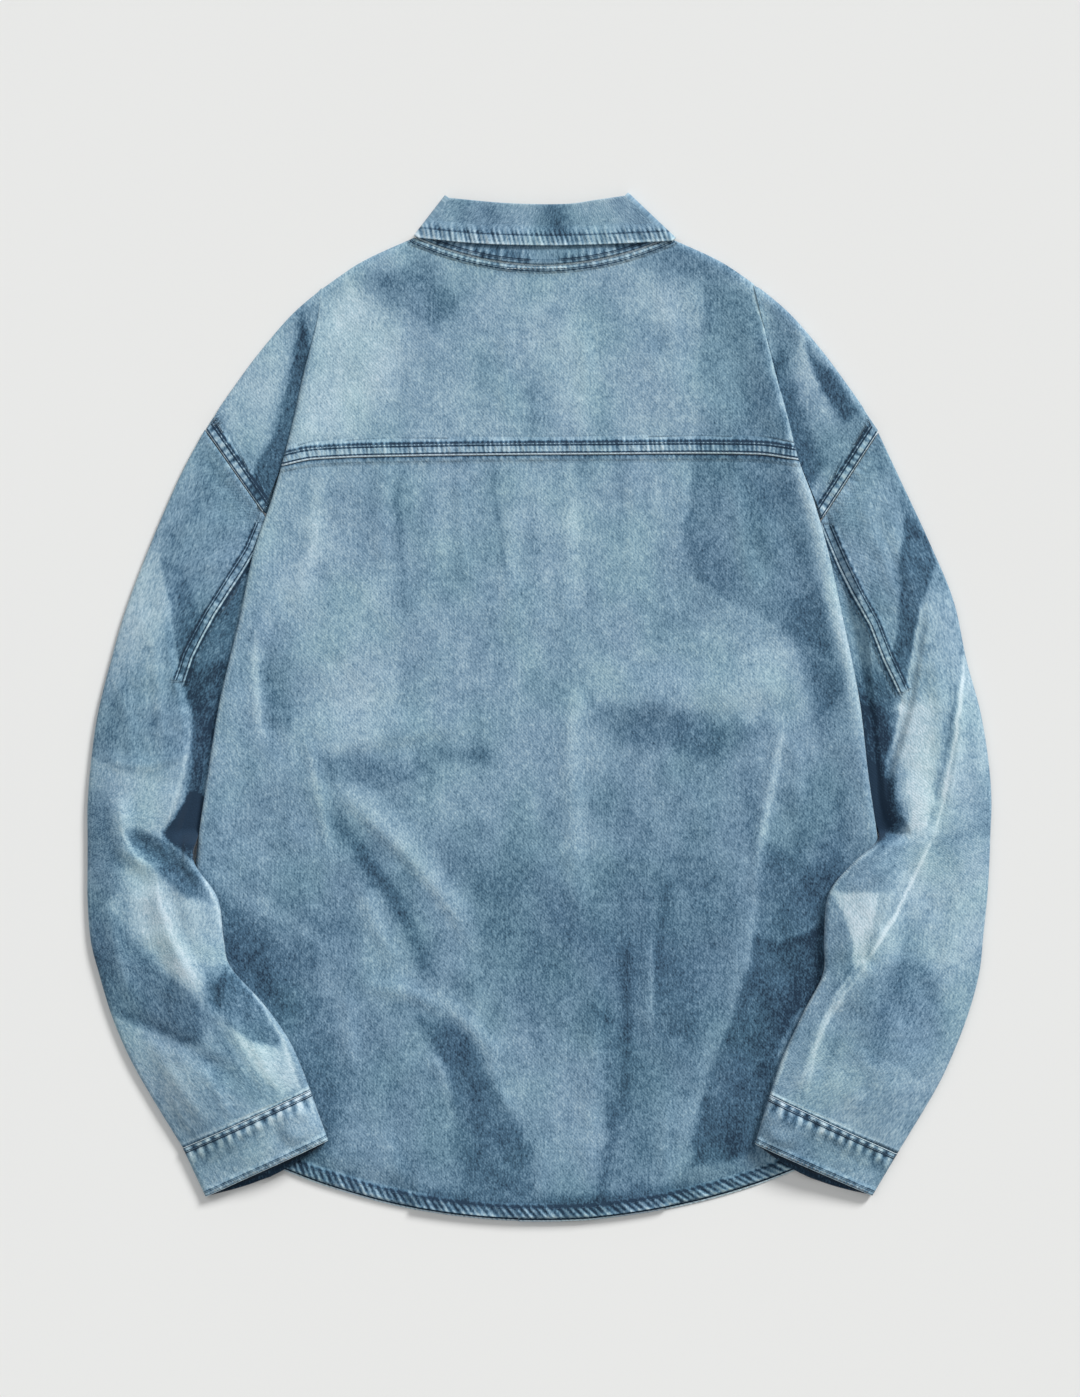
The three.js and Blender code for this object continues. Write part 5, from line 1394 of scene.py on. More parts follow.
@dataclass
class BackYoke:
    """The yoke: a middle between the folds and a wing over each shoulder, lapped over the back."""

    body: BodyForm
    step: float = 3.0
    armhole_share: float = 0.4
    armhole_covered: float = 0.1
    tall: float = 150.0
    wide: float = 404.0
    wing_steps: tuple[float, ...] = (
        0.006, 0.02, 0.045, 0.08, 0.13, 0.2, 0.28, 0.36, 0.44, 0.52, 0.6, 0.68, 0.76, 0.83, 0.88, 0.92, 0.95,
        0.975, 0.99, 1)
    cut_wide: float = 0.56
    cut_long: float = 0.19
    stitch_gap: float = 10.0

    def fold_point(self, side: Side, t: Array) -> tuple[Array, Array]:
        """Return the place on a folded side, from the seam up to its apex."""
        edge = self.body.left if side is Side.LEFT else self.body.right
        low = float(self.body.seam(edge(YOKE_END_Y))) + SEAM_GAP / 2
        y = mix(low, FOLD_APEX_Y - 2, t)
        return edge(y), y

    def wing_edge(self, side: Side, t: Array) -> tuple[Array, Array]:
        """Return the outer edge of a wing: up the armhole seam, then along the shoulder."""
        inner, outer = ARMHOLES[side]["inner"], ARMHOLES[side]["outer"]
        trimmed = 2 * SEAM_GAP
        up = mix(self.armhole_covered, 1, t / self.armhole_share)
        armhole_x = mix(inner[0], outer[0], up) - side.sign * trimmed
        armhole_y = mix(inner[1], outer[1], up) + trimmed
        apex_x, _ = self.fold_point(side, np.array(1.0))
        along = (t - self.armhole_share) / (1 - self.armhole_share)
        x = mix(outer[0], apex_x + side.sign * 4, along) - side.sign * trimmed
        y = mix(outer[1] + trimmed, self.body.shoulder(x), ease(0, 0.12, along))
        low = t <= self.armhole_share
        return np.where(low, armhole_x, x), np.where(low, armhole_y, y)

    def places(self) -> tuple[Array, Array]:
        """Return x and y of the whole grid, rows from the seam up."""
        body = self.body
        heights = steps_with_edges(self.tall, self.step, BAND_STEPS, (9, 6.5, 4.4, 2.8, 1.6, 0.7, 0))[:, None]
        middle = steps_with_edges(self.wide, self.step, EDGE_STEPS, EDGE_STEPS[::-1])[None, :]
        wing = np.array([self.wing_steps])
        parts_x, parts_y = [], []
        for side in (Side.LEFT, Side.RIGHT):
            fold_x, fold_y = self.fold_point(side, heights)
            edge_x, edge_y = self.wing_edge(side, heights)
            x, y = mix(fold_x, edge_x, wing), mix(fold_y, edge_y, wing)
            limit = (body.left(y) if side is Side.LEFT else body.right(y)) + side.sign * mix(0.1, 0.6, wing)
            x = np.maximum(x, limit) if side is Side.RIGHT else np.minimum(x, limit)
            order = slice(None, None, -1) if side is Side.LEFT else slice(None)
            parts_x.append(x[:, order])
            parts_y.append(y[:, order])
        left_x, _ = self.fold_point(Side.LEFT, heights)
        right_x, _ = self.fold_point(Side.RIGHT, heights)
        bottom_x = mix(left_x[0, 0], right_x[0, 0], middle)
        top_x = mix(left_x[-1, 0], right_x[-1, 0], middle)
        mid_x = mix(left_x, right_x, middle)
        top_y = body.yoke_top(top_x) - np.where(body.neck_out(top_x) < 1, 1.5 * SEAM_GAP, 0)
        mid_y = mix(body.seam(bottom_x) + SEAM_GAP / 2, top_y, heights)
        return (np.concatenate([parts_x[0], mid_x, parts_x[1]], 1),
                np.concatenate([parts_y[0], mid_y, parts_y[1]], 1))

    def armhole_line(self, side: Side) -> tuple[Array, Array]:
        """Return the armhole seam of one side."""
        inner, outer = ARMHOLES[side]["inner"], ARMHOLES[side]["outer"]
        return line_between(inner[0], inner[1], outer[0], outer[1], 30)

    def build(self, finishes: Finishes) -> Object:
        """Build the cloth and its stitches."""
        body = self.body
        x, y = self.places()
        seam_x = np.linspace(-212, 212, 62)
        neck_x = np.linspace(NECK_MIDDLE - NECK_HALF, NECK_MIDDLE + NECK_HALF, 50)
        middle = Sewing((SeamRun(seam_x, body.seam(seam_x), 10.0, 0.7, 0.8, 1, 0.1, 5.0),
                         SeamRun(neck_x, body.neck_back(neck_x), 4.5, 0.25, 0.8, -1, 0, 3.0, 0.8)))
        wings = Sewing(tuple(
            SeamRun(*self.armhole_line(side), 9.0, 0.5, 0.95, side.sign, 0, 4.0, 0.6) for side in Side))
        inside = body.inside_fold(x, y)
        on_middle = (inside > 0) | (y > FOLD_APEX_Y)
        fade = ease(0, 3, body.neck_back(x) - y)
        raised = np.where(on_middle, middle.rise(x, y), wings.rise(x, y))
        z = body.top(x, y) + raised * np.where(body.neck_out(x) < 1, fade, 1)
        grid = np.stack([x, y, z], 2)
        (seam, bars), (wing_seam, wing_bars) = middle.maps(x, y), wings.maps(x, y)
        seam = np.where(on_middle[..., None], seam, wing_seam)
        bars = np.where(on_middle, bars, wing_bars)
        relief = body.fine_creases.rise(x, y) + body.creases.rise(x, y)
        tone = np.where(on_middle, BODY_WASH_AND_SHADING.tone(x, y) + 0.05, WING_WASH_AND_SHADING.tone(x, y)) + mottle(x, y)
        tone = tone + 0.04 * np.clip(relief, -2, 3)
        weave = np.stack([x, y], 2) * MM
        piece = slab(grid, cloth_below(grid), Maps(weave, seam, tone, bars)).make("back_yoke", finishes.denim)
        row_x = np.linspace(-199, 199, 320)
        rows = [(row_x, body.seam(row_x) + 1.6), (row_x, body.seam(row_x) + self.stitch_gap - 1)]
        for side in Side:
            line_x, line_y = self.armhole_line(side)
            along_x, along_y = line_x[-1] - line_x[0], line_y[-1] - line_y[0]
            size = math.hypot(along_x, along_y)
            across_x, across_y = -side.sign * abs(along_y) / size, abs(along_x) / size
            rows += [(line_x[4:] + gap * across_x, line_y[4:] + gap * across_y) for gap in (1.8, 8.0)]
        threads = StitchRows("yoke_stitches", finishes.thread, tuple(rows)).make(piece)
        tack_x = np.linspace(-25, 20, 40)
        tack_y = 343.2 - 0.0006 * tack_x ** 2 + 0.01 * tack_x
        tacks = StitchRows("yoke_tacking", finishes.white_thread, ((tack_x, tack_y),), 2.7, 2.0, 0.55)
        tack = tacks.make(piece)
        return piece


@dataclass
class Front:
    """One front, which lies under the back, outer face down."""

    body: BodyForm
    side: Side
    tuck: float = 10.0
    trim: float = 1.3
    cut_wide: float = 0.285
    cut_long: float = 0.78

    def outer_edge(self, y: Array) -> Array:
        """Return the x of the outer edge: the side fold, the armhole seam, then the shoulder."""
        sign = self.side.sign
        inner, outer = ARMHOLES[self.side]["inner"], ARMHOLES[self.side]["outer"]
        inset = mix(self.tuck, 1, ease(SLEEVE_OVER_Y, SLEEVE_ON_TOP_Y, y))
        fold = (self.body.left(y) if self.side is Side.LEFT else self.body.right(y)) - sign * inset
        up = (y - inner[1]) / (outer[1] - inner[1])
        armhole = mix(inner[0], outer[0], up) - sign * 0.6
        shoulder = sign * self.body.shoulder_by_y(y) + 1 - sign * 0.4
        middle = np.where(y <= inner[1], fold, mix(fold, armhole, ease(0, 0.12, up)))
        return np.where(y >= outer[1], shoulder, middle)

    def inner_edge(self, y: Array) -> Array:
        """Return the x of the inner edge: the placket, then the neckline."""
        sign = self.side.sign
        at_placket = -PLACKET_HALF - SEAM_GAP if self.side is Side.LEFT else -PLACKET_HALF + 1
        above = np.maximum(y - NECK_FRONT_LOW + self.trim, 0)
        neckline = NECK_MIDDLE + sign * (NECK_HALF * (above / NECK_FRONT_RISE) ** (1 / 1.6) + SEAM_GAP)
        open_neck = np.minimum(neckline, at_placket) if sign < 0 else np.maximum(neckline, at_placket)
        return np.where(above <= 0, at_placket, open_neck)

    def build(self, finishes: Finishes) -> Object:
        """Build the cloth."""
        body = self.body
        over_placket = self.side is Side.RIGHT
        share = np.linspace(0, 1, 76)
        spans = ((362, 288, 34), (285, 130, 40), (126, -200, 70))
        upper_y = np.concatenate([np.linspace(*span) for span in spans])
        last_x = mix(self.inner_edge(np.array(-295.0)), self.outer_edge(np.array(-295.0)), share)
        drop = FRONT_HEM_DROP * (1 - ease(205, 250, np.abs(last_x)))
        hem_y = body.hem(last_x) - drop
        rows = [np.full(share.shape, value) for value in upper_y]
        rows += [mix(upper_y[-1], hem_y, t) for t in np.linspace(0.02, 0.93, 56)]
        rows += [hem_y + step for step in (11.5, 10, 8.8, 7.6, 6.4, 5.2, 4, 2.8, 1.7, 0.8, 0.3, 0)]
        y = np.array(rows)
        x = mix(self.inner_edge(y), self.outer_edge(y), share[None, :])
        low = body.front_low(x, y, over_placket)
        lower = np.stack([x, y, low], 2)
        upper = lower + np.array([0, 0, CLOTH])
        xs = np.linspace(float(last_x.min()), float(last_x.max()), 60)
        edge_y = body.hem(xs) - FRONT_HEM_DROP * (1 - ease(205, 250, np.abs(xs)))
        seam, bars = Sewing((SeamRun(xs, edge_y, 8.2, 0, 0.95, 1, 0.9, 5),)).maps(x, y)
        tone = -0.06 + 0.1 * ripple_noise(x, y, 70, 41) + 0.08 * ripple_noise(x, y, 24, 43)
        maps = Maps(np.stack([x, y], 2) * MM, seam, tone, bars)
        piece = slab(upper, lower, maps).make(f"front_{self.side.value}", finishes.denim)
        return piece


@dataclass
class Placket:
    """The folded front strip, cut from its own solid with its edges softened."""

    bevel: float = 0.5
    cut_wide: float = 0.072
    cut_long: float = 0.69

    def build(self, finishes: Finishes) -> Object:
        """Build the strip from its solid."""
        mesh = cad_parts["front_placket"].data.copy()
        mesh.name = "front_placket_cloth"
        piece = linked("front_placket_cloth", mesh)
        weld = piece.modifiers.new("weld", "WELD")
        weld.merge_threshold = 0.02 * MM
        bevel = piece.modifiers.new("bevel", "BEVEL")
        bevel.width, bevel.segments, bevel.limit_method = self.bevel * MM, 2, "ANGLE"
        made = finished_mesh(piece)
        piece.modifiers.clear()
        piece.data = made
        made.materials.clear()
        made.materials.append(finishes.denim)
        self.lay_maps(made)
        settle(piece, "front_placket")
        return piece

    def lay_maps(self, mesh: Mesh) -> None:
        """Give the ready strip the maps that the denim reads, from above, with puckers along both edges."""
        spots, corners = np.zeros(3 * len(mesh.vertices)), np.zeros(len(mesh.loops), int)
        mesh.vertices.foreach_get("co", spots)
        mesh.loops.foreach_get("vertex_index", corners)
        for old in list(mesh.uv_layers):
            mesh.uv_layers.remove(old)
        flat = spots.reshape(-1, 3)[:, :2]
        x, y = flat[:, 0] / MM, flat[:, 1] / MM
        bars = 0.5 * np.exp(-((PLACKET_HALF - np.abs(x - SHIFT_X)) / 5) ** 2)
        Maps(flat, flat[:, ::-1], 0.08 * ripple_noise(x, y, 30, 45), bars).write(mesh, corners)


def turned(x: float, y: float, profile: Sequence[tuple[float, float]], sides: int) -> tuple[list, list]:
    """Turn a profile round an upright line, with a cap at each end.

    Args:
        x: Place of the line, across.
        y: Place of the line, along.
        profile: Radius and level of each ring, from the lower cap to the upper one.
        sides: Number of corners of a ring.

    Returns:
        The corners and the faces, which point outward.
    """
    turns = [2 * math.pi * i / sides for i in range(sides)]
    corners = [(x + out * math.cos(a), y + out * math.sin(a), level) for out, level in profile for a in turns]
    last = (len(profile) - 1) * sides
    faces = [(k + i, k + (i + 1) % sides, k + sides + (i + 1) % sides, k + sides + i)
             for k in range(0, last, sides) for i in range(sides)]
    return corners, faces + [tuple(reversed(range(sides))), tuple(range(last, last + sides))]


@dataclass
class Button:
    """A plain four-hole button with a raised rim, in the place of its solid."""

    node: str
    hole: float = 0.85
    hole_out: float = 1.5
    sides: int = 40
    # Share of the radius and of the thickness at each ring, from the middle of the outer face round the rim
    profile: tuple[tuple[float, float], ...] = (
        (0.45, 0.22), (0.62, 0.16), (0.72, 0.02), (0.84, 0.0), (0.95, 0.08), (1.0, 0.25), (1.0, 0.7),
        (0.94, 0.92), (0.84, 1.0))

    def build(self, finishes: Finishes) -> Object:
        """Turn the profile, sink the four holes and set the button in its place."""
        low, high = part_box(self.node)
        middle_x, middle_y, thick = (low.x + high.x) / 2, (low.y + high.y) / 2, high.z - low.z
        radius = (high.x - low.x) / 2
        rings = [(share * radius, low.z + level * thick) for share, level in self.profile]
        corners, faces = turned(middle_x, middle_y, rings, self.sides)
        piece = joined_up(self.node + "_resin", corners, [], faces)
        drills = self.drills(middle_x, middle_y, low.z, high.z)
        holes = piece.modifiers.new("holes", "BOOLEAN")
        holes.object, holes.operation, holes.solver = drills, "DIFFERENCE", "EXACT"
        made = finished_mesh(piece)
        piece.modifiers.clear()
        piece.data = made
        bpy.data.objects.remove(drills)
        made.materials.clear()
        made.materials.append(finishes.resin)
        made.set_sharp_from_angle(angle=math.radians(35))
        return settle(piece, self.node)

    def drills(self, x: float, y: float, low: float, high: float) -> Object:
        """Return the four plugs that cut the holes."""
        corners: list[tuple[float, float, float]] = []
        faces: list[tuple[int, ...]] = []
        for turn in range(4):
            angle = math.pi / 4 + turn * math.pi / 2
            cx, cy = x + self.hole_out * MM * math.cos(angle), y + self.hole_out * MM * math.sin(angle)
            plug, walls = turned(cx, cy, ((self.hole * MM, low - MM), (self.hole * MM, high + MM)), 12)
            faces += [tuple(len(corners) + i for i in wall) for wall in walls]
            corners += plug
        return joined_up("button_drills", corners, [], faces)


# Collar


def collar_stations(front_start: float, back_steps: int, front_steps: int) -> tuple[Array, Array, Array]:
    """Return stations round the neck: place from left to right, layer and bulge at the turns."""
    turn = np.linspace(0, 1, 9)[1:-1]
    front = mix(front_start, 1, np.linspace(0, 1, front_steps + 1))
    back = np.linspace(-1, 1, back_steps + 1)
    s = np.concatenate([-front, -np.ones(7), back, np.ones(7), front[::-1]])
    left, right = mix(math.pi, 0, turn), mix(0, math.pi, turn)
    flat = np.full(front.shape, -1.0)
    lift = np.concatenate([flat, np.cos(left), np.ones(back.shape), np.cos(right), flat])
    bulge = np.concatenate([0 * front, np.sin(left), 0 * back, np.sin(right), 0 * front])
    return s, lift, bulge


def collar_grid(s: Array, lift: Array, bulge: Array, back: Array, front: Array, low: float,
                high: float) -> Array:
    """Place a collar piece's grid in its back and front layers.

    Args:
        s: Place of each station from left to right.
        lift: Layer of each station, 1 on the back and -1 on the front.
        bulge: How far each station turns outward at the sides.
        back: Grid of places in the back layer.
        front: Grid of places in the front layer.
        low: Level of the front layer.
        high: Level of the back layer.

    Returns:
        Grid of points.
    """
    half = (high - low) / 2
    spot = np.where((lift > 0)[None, :, None], back, front)
    out = np.where((s < 0)[:, None], np.array(COLLAR_SIDES[Side.LEFT]), np.array(COLLAR_SIDES[Side.RIGHT]))
    place = spot + (out * (half * bulge)[:, None])[None]
    level = np.broadcast_to(((low + high) / 2 + half * lift)[None, :, None], place.shape[:2] + (1,))
    return np.concatenate([place, level], 2)


@dataclass
class Collar:
    """The stand round the neck and the leaf that folds down over it."""

    body: BodyForm
    stand_edge_gap: float = 1.8
    around: float = 0.11
    leaf_deep: float = 0.04
    leaf_wide: float = 0.48
    leaf_long: float = 0.075
    stand_wide: float = 0.46
    stand_long: float = 0.04
    edge_stitch: float = 8.0

    def __post_init__(self) -> None:
        """Make the curves of the leaf's two long edges."""
        self.fold_x, self.fold_y = LEAF_FOLD.curve("s", "x"), LEAF_FOLD.curve("s", "y")
        self.edge_x, self.edge_y = LEAF_EDGE.curve("s", "x"), LEAF_EDGE.curve("s", "y")

    def front_fold(self, s: Array) -> tuple[Array, Array]:
        """Return the fold line of the front of the collar."""
        out, sign = np.abs(s), np.sign(s)
        return mix(0, self.fold_x(sign), out), mix(LEAF_FOLD_LOW, self.fold_y(sign), out * out)

    def wall(self, grid: Array, s: Array, share: Array, seam: Array, tone: Array, bars: Array) -> Shell:
        """Return the wall round the middle grid of the stand or the leaf.

        Args:
            grid: Grid of points in the middle of the cloth.
            s: Place of each column from left to right.
            share: Place of each row from the edge.
            seam: Seam map of the grid.
            tone: Tone of the grid.
            bars: Strength of the puckers.

        Returns:
            The closed wall.
        """
        weave = np.stack(np.broadcast_arrays(s * self.around, share * self.leaf_deep), 2)
        return slab(offset_grid(grid, -CLOTH / 2), offset_grid(grid, CLOTH / 2), Maps(weave, seam, tone, bars))

    def leaf(self, finishes: Finishes) -> Object:
        """Build the leaf with its roped edge and stitches."""
        s, lift, bulge = collar_stations(LEAF_FRONT_START, 120, 40)
        rows = np.concatenate([[0, 0.02, 0.05, 0.1], np.linspace(0.16, 0.7, 12), np.linspace(0.73, 1, 16)])
        share = rows[:, None]
        back_x, back_y = mix(self.fold_x(s), self.edge_x(s), share), mix(self.fold_y(s), self.edge_y(s), share)
        back = np.stack([back_x, back_y], 2)
        q = (np.abs(s) - LEAF_FRONT_START) / (1 - LEAF_FRONT_START)
        fold_x, fold_y = self.front_fold(s)
        sign = np.sign(s)
        tip_x = mix(sign * LEAF_TIP_X, self.edge_x(sign), q)
        tip_y = mix(LEAF_TIP_Y, self.edge_y(sign), np.maximum(q, 0) ** 0.9)
        front = np.stack([mix(fold_x, tip_x, share), mix(fold_y, tip_y, share)], 2)
        grid = collar_grid(s, lift, bulge, back, front, LEAF_FRONT, LEAF_BACK)
        x, y = grid[..., 0], grid[..., 1]
        on_back = np.broadcast_to((lift > 0.999)[None, :], x.shape)
        fade = ease(0, 0.12, share) * ease(0, 0.15, 1 - np.abs(s))[None, :]
        waves = 0.3 * ripple_noise(x, 0.5 * y, 17, 61) + 0.16 * ripple_noise(x, 0.5 * y, 8, 63)
        grid[..., 2] += np.where(on_back, waves * fade + 0.25 * ease(0.75, 0.8, share), 0)
        edge_x, edge_y = self.edge_x(np.linspace(-1, 1, 60)), self.edge_y(np.linspace(-1, 1, 60))
        seam, bars = Sewing((SeamRun(edge_x, edge_y, 8.2, 0, 0.95, 1, 0.3, 8.0, 0.95, False),)).maps(x, y)
        tone = 0.1 * ripple_noise(x, 0.4 * y, 20, 65) + 0.07 * ripple_noise(x, 0.3 * y, 9, 66) - 0.12
        # Painted shade and light: darker and paler upright bands across the leaf stand in for the shading of
        # its soft wrinkles
        for at, wide, change in ((-40, 12, -0.14), (10, 12, -0.14), (-10, 9, 0.1), (27, 8, 0.1), (54, 14, 0.12),
                                 (-72, 10, 0.1)):
            tone = tone + change * np.exp(-((x - at) / wide) ** 2) * ease(1, 0.6, share)
        tone = tone + 0.12 * np.broadcast_to(1 - ease(0, 0.08, share), x.shape)
        deep = y - np.interp(x, edge_x, edge_y)
        tone = tone + 0.04 + 0.1 * (1 - ease(7, 10, deep)) - 0.34 * np.exp(-((deep - 8) / 0.8) ** 2)
        tone = tone + 0.2 * np.exp(-((deep - 1) / 1.0) ** 2)
        piece = self.wall(grid, s, share, seam, tone, bars).make("collar_leaf", finishes.denim)
        inner = np.linspace(-0.9, 0.93, 150)
        row_y = self.edge_y(inner) + self.edge_stitch
        threads = StitchRows("collar_stitches", finishes.thread, ((self.edge_x(inner), row_y),)).make(piece)
        return piece

    def stand(self, finishes: Finishes) -> Object:
        """Build the stand."""
        body = self.body
        s, lift, bulge = collar_stations(0.006, 120, 40)
        share = np.linspace(0, 1, 18)[:, None]
        low_x = NECK_MIDDLE + (NECK_HALF - 3) * s
        back_low, top_y = body.neck_back(low_x) + SEAM_GAP / 2, self.fold_y(s) - self.stand_edge_gap
        back = np.stack([mix(low_x, self.fold_x(s) * 0.96, share), mix(back_low, top_y, share)], 2)
        fold_x, fold_y = self.front_fold(s)
        front_low = mix(body.neck_front(low_x) + SEAM_GAP, body.neck_back(low_x), ease(0.9, 1, np.abs(s)))
        front_top = mix(NECK_FRONT_LOW + STAND_HEIGHT, fold_y - self.stand_edge_gap, np.abs(s))
        front = np.stack([mix(low_x, fold_x * 0.96, share), mix(front_low, front_top, share)], 2)
        grid = collar_grid(s, lift, bulge, back, front, STAND_FRONT, STAND_BACK)
        x, y = grid[..., 0], grid[..., 1]
        neck_x = np.linspace(NECK_MIDDLE - NECK_HALF, NECK_MIDDLE + NECK_HALF, 50)
        runs = (SeamRun(neck_x, body.neck_back(neck_x), 4.0, 0, 0.9, 1, 0, 14.0, 0.6),)
        seam, bars = Sewing(runs).maps(x, y)
        smooth_patch = np.exp(-((x - 4) / 12) ** 4)
        bars = bars * (1 - 0.8 * smooth_patch)
        tone = 0.08 * ripple_noise(x, y, 12, 67) - 0.16 + 0.1 * smooth_patch
        piece = self.wall(grid, s, share, seam, tone, bars).make("collar_stand", finishes.denim)
        return piece


# Sleeves and cuffs


def section_rise(share: Array, width: Array, height: Array, inset: float, upper: Array) -> Array:
    """Return the height of a flattened tube's outer face over the ground.

    Args:
        share: Place across the section.
        width: Width of the section.
        height: Height of the tube there.
        inset: Distance inside the outer face, 0 for the outer face itself.
        upper: 1 on the upper ply and -1 on the lower one.

    Returns:
        Height in millimetres.
    """
    free = height - 2 * inset
    reach = np.maximum(np.minimum(free / 2, width / 4), 0.2)
    from_end = np.minimum(share, 1 - share) * (width - 2 * inset)
    t = np.clip(1 - from_end / reach, 0, 1)
    return inset + free / 2 * (1 + upper * np.sqrt(1 - t * t))


def ring_shares(upper_steps: int, lower_steps: int) -> tuple[Array, Array]:
    """Return the places round a section and the ply of each, 1 on the upper and -1 on the lower."""
    over = np.linspace(0, 1, upper_steps + 1)
    over = mix(over, (1 - np.cos(np.pi * over)) / 2, 0.6)
    under = (1 - np.cos(np.pi * np.linspace(0, 1, lower_steps + 1))) / 2
    under = under[::-1][1:-1]
    return np.concatenate([over, under]), np.concatenate([np.ones(over.shape), -np.ones(under.shape)])


def lie(ground: Ground, grid: tuple[Array, Array], share: Array, ply: Array, width: Array, height: Array,
        inset: float) -> Array:
    """Return how high a flattened tube's face lies over the ground, the upper ply bridging steps softly.

    Args:
        ground: Level that the tube lies on.
        grid: Places across and along.
        share: Place across the section.
        ply: 1 on the upper ply and -1 on the lower one.
        width: Width of the section.
        height: Height of the tube there.
        inset: Distance inside the outer face.

    Returns:
        Height in millimetres.
    """
    rise = section_rise(share, width, height, inset, ply)
    draped = rise + ground.drape(*grid, share, ply)
    low = np.minimum(rise, 2 * CLOTH + LAYER_GAP - inset)
    return np.where(draped < rise, np.maximum(draped, low), draped)


def tube_weave(across: Array, width: Array, upper: Array, along: Array) -> Array:
    """Return the weave map of a flattened tube, in metres, the lower ply following on from the upper one."""
    flat_x = np.where(upper, across * width, (2 - across) * width) * MM
    return np.stack([flat_x, np.broadcast_to(along, flat_x.shape)], 2)


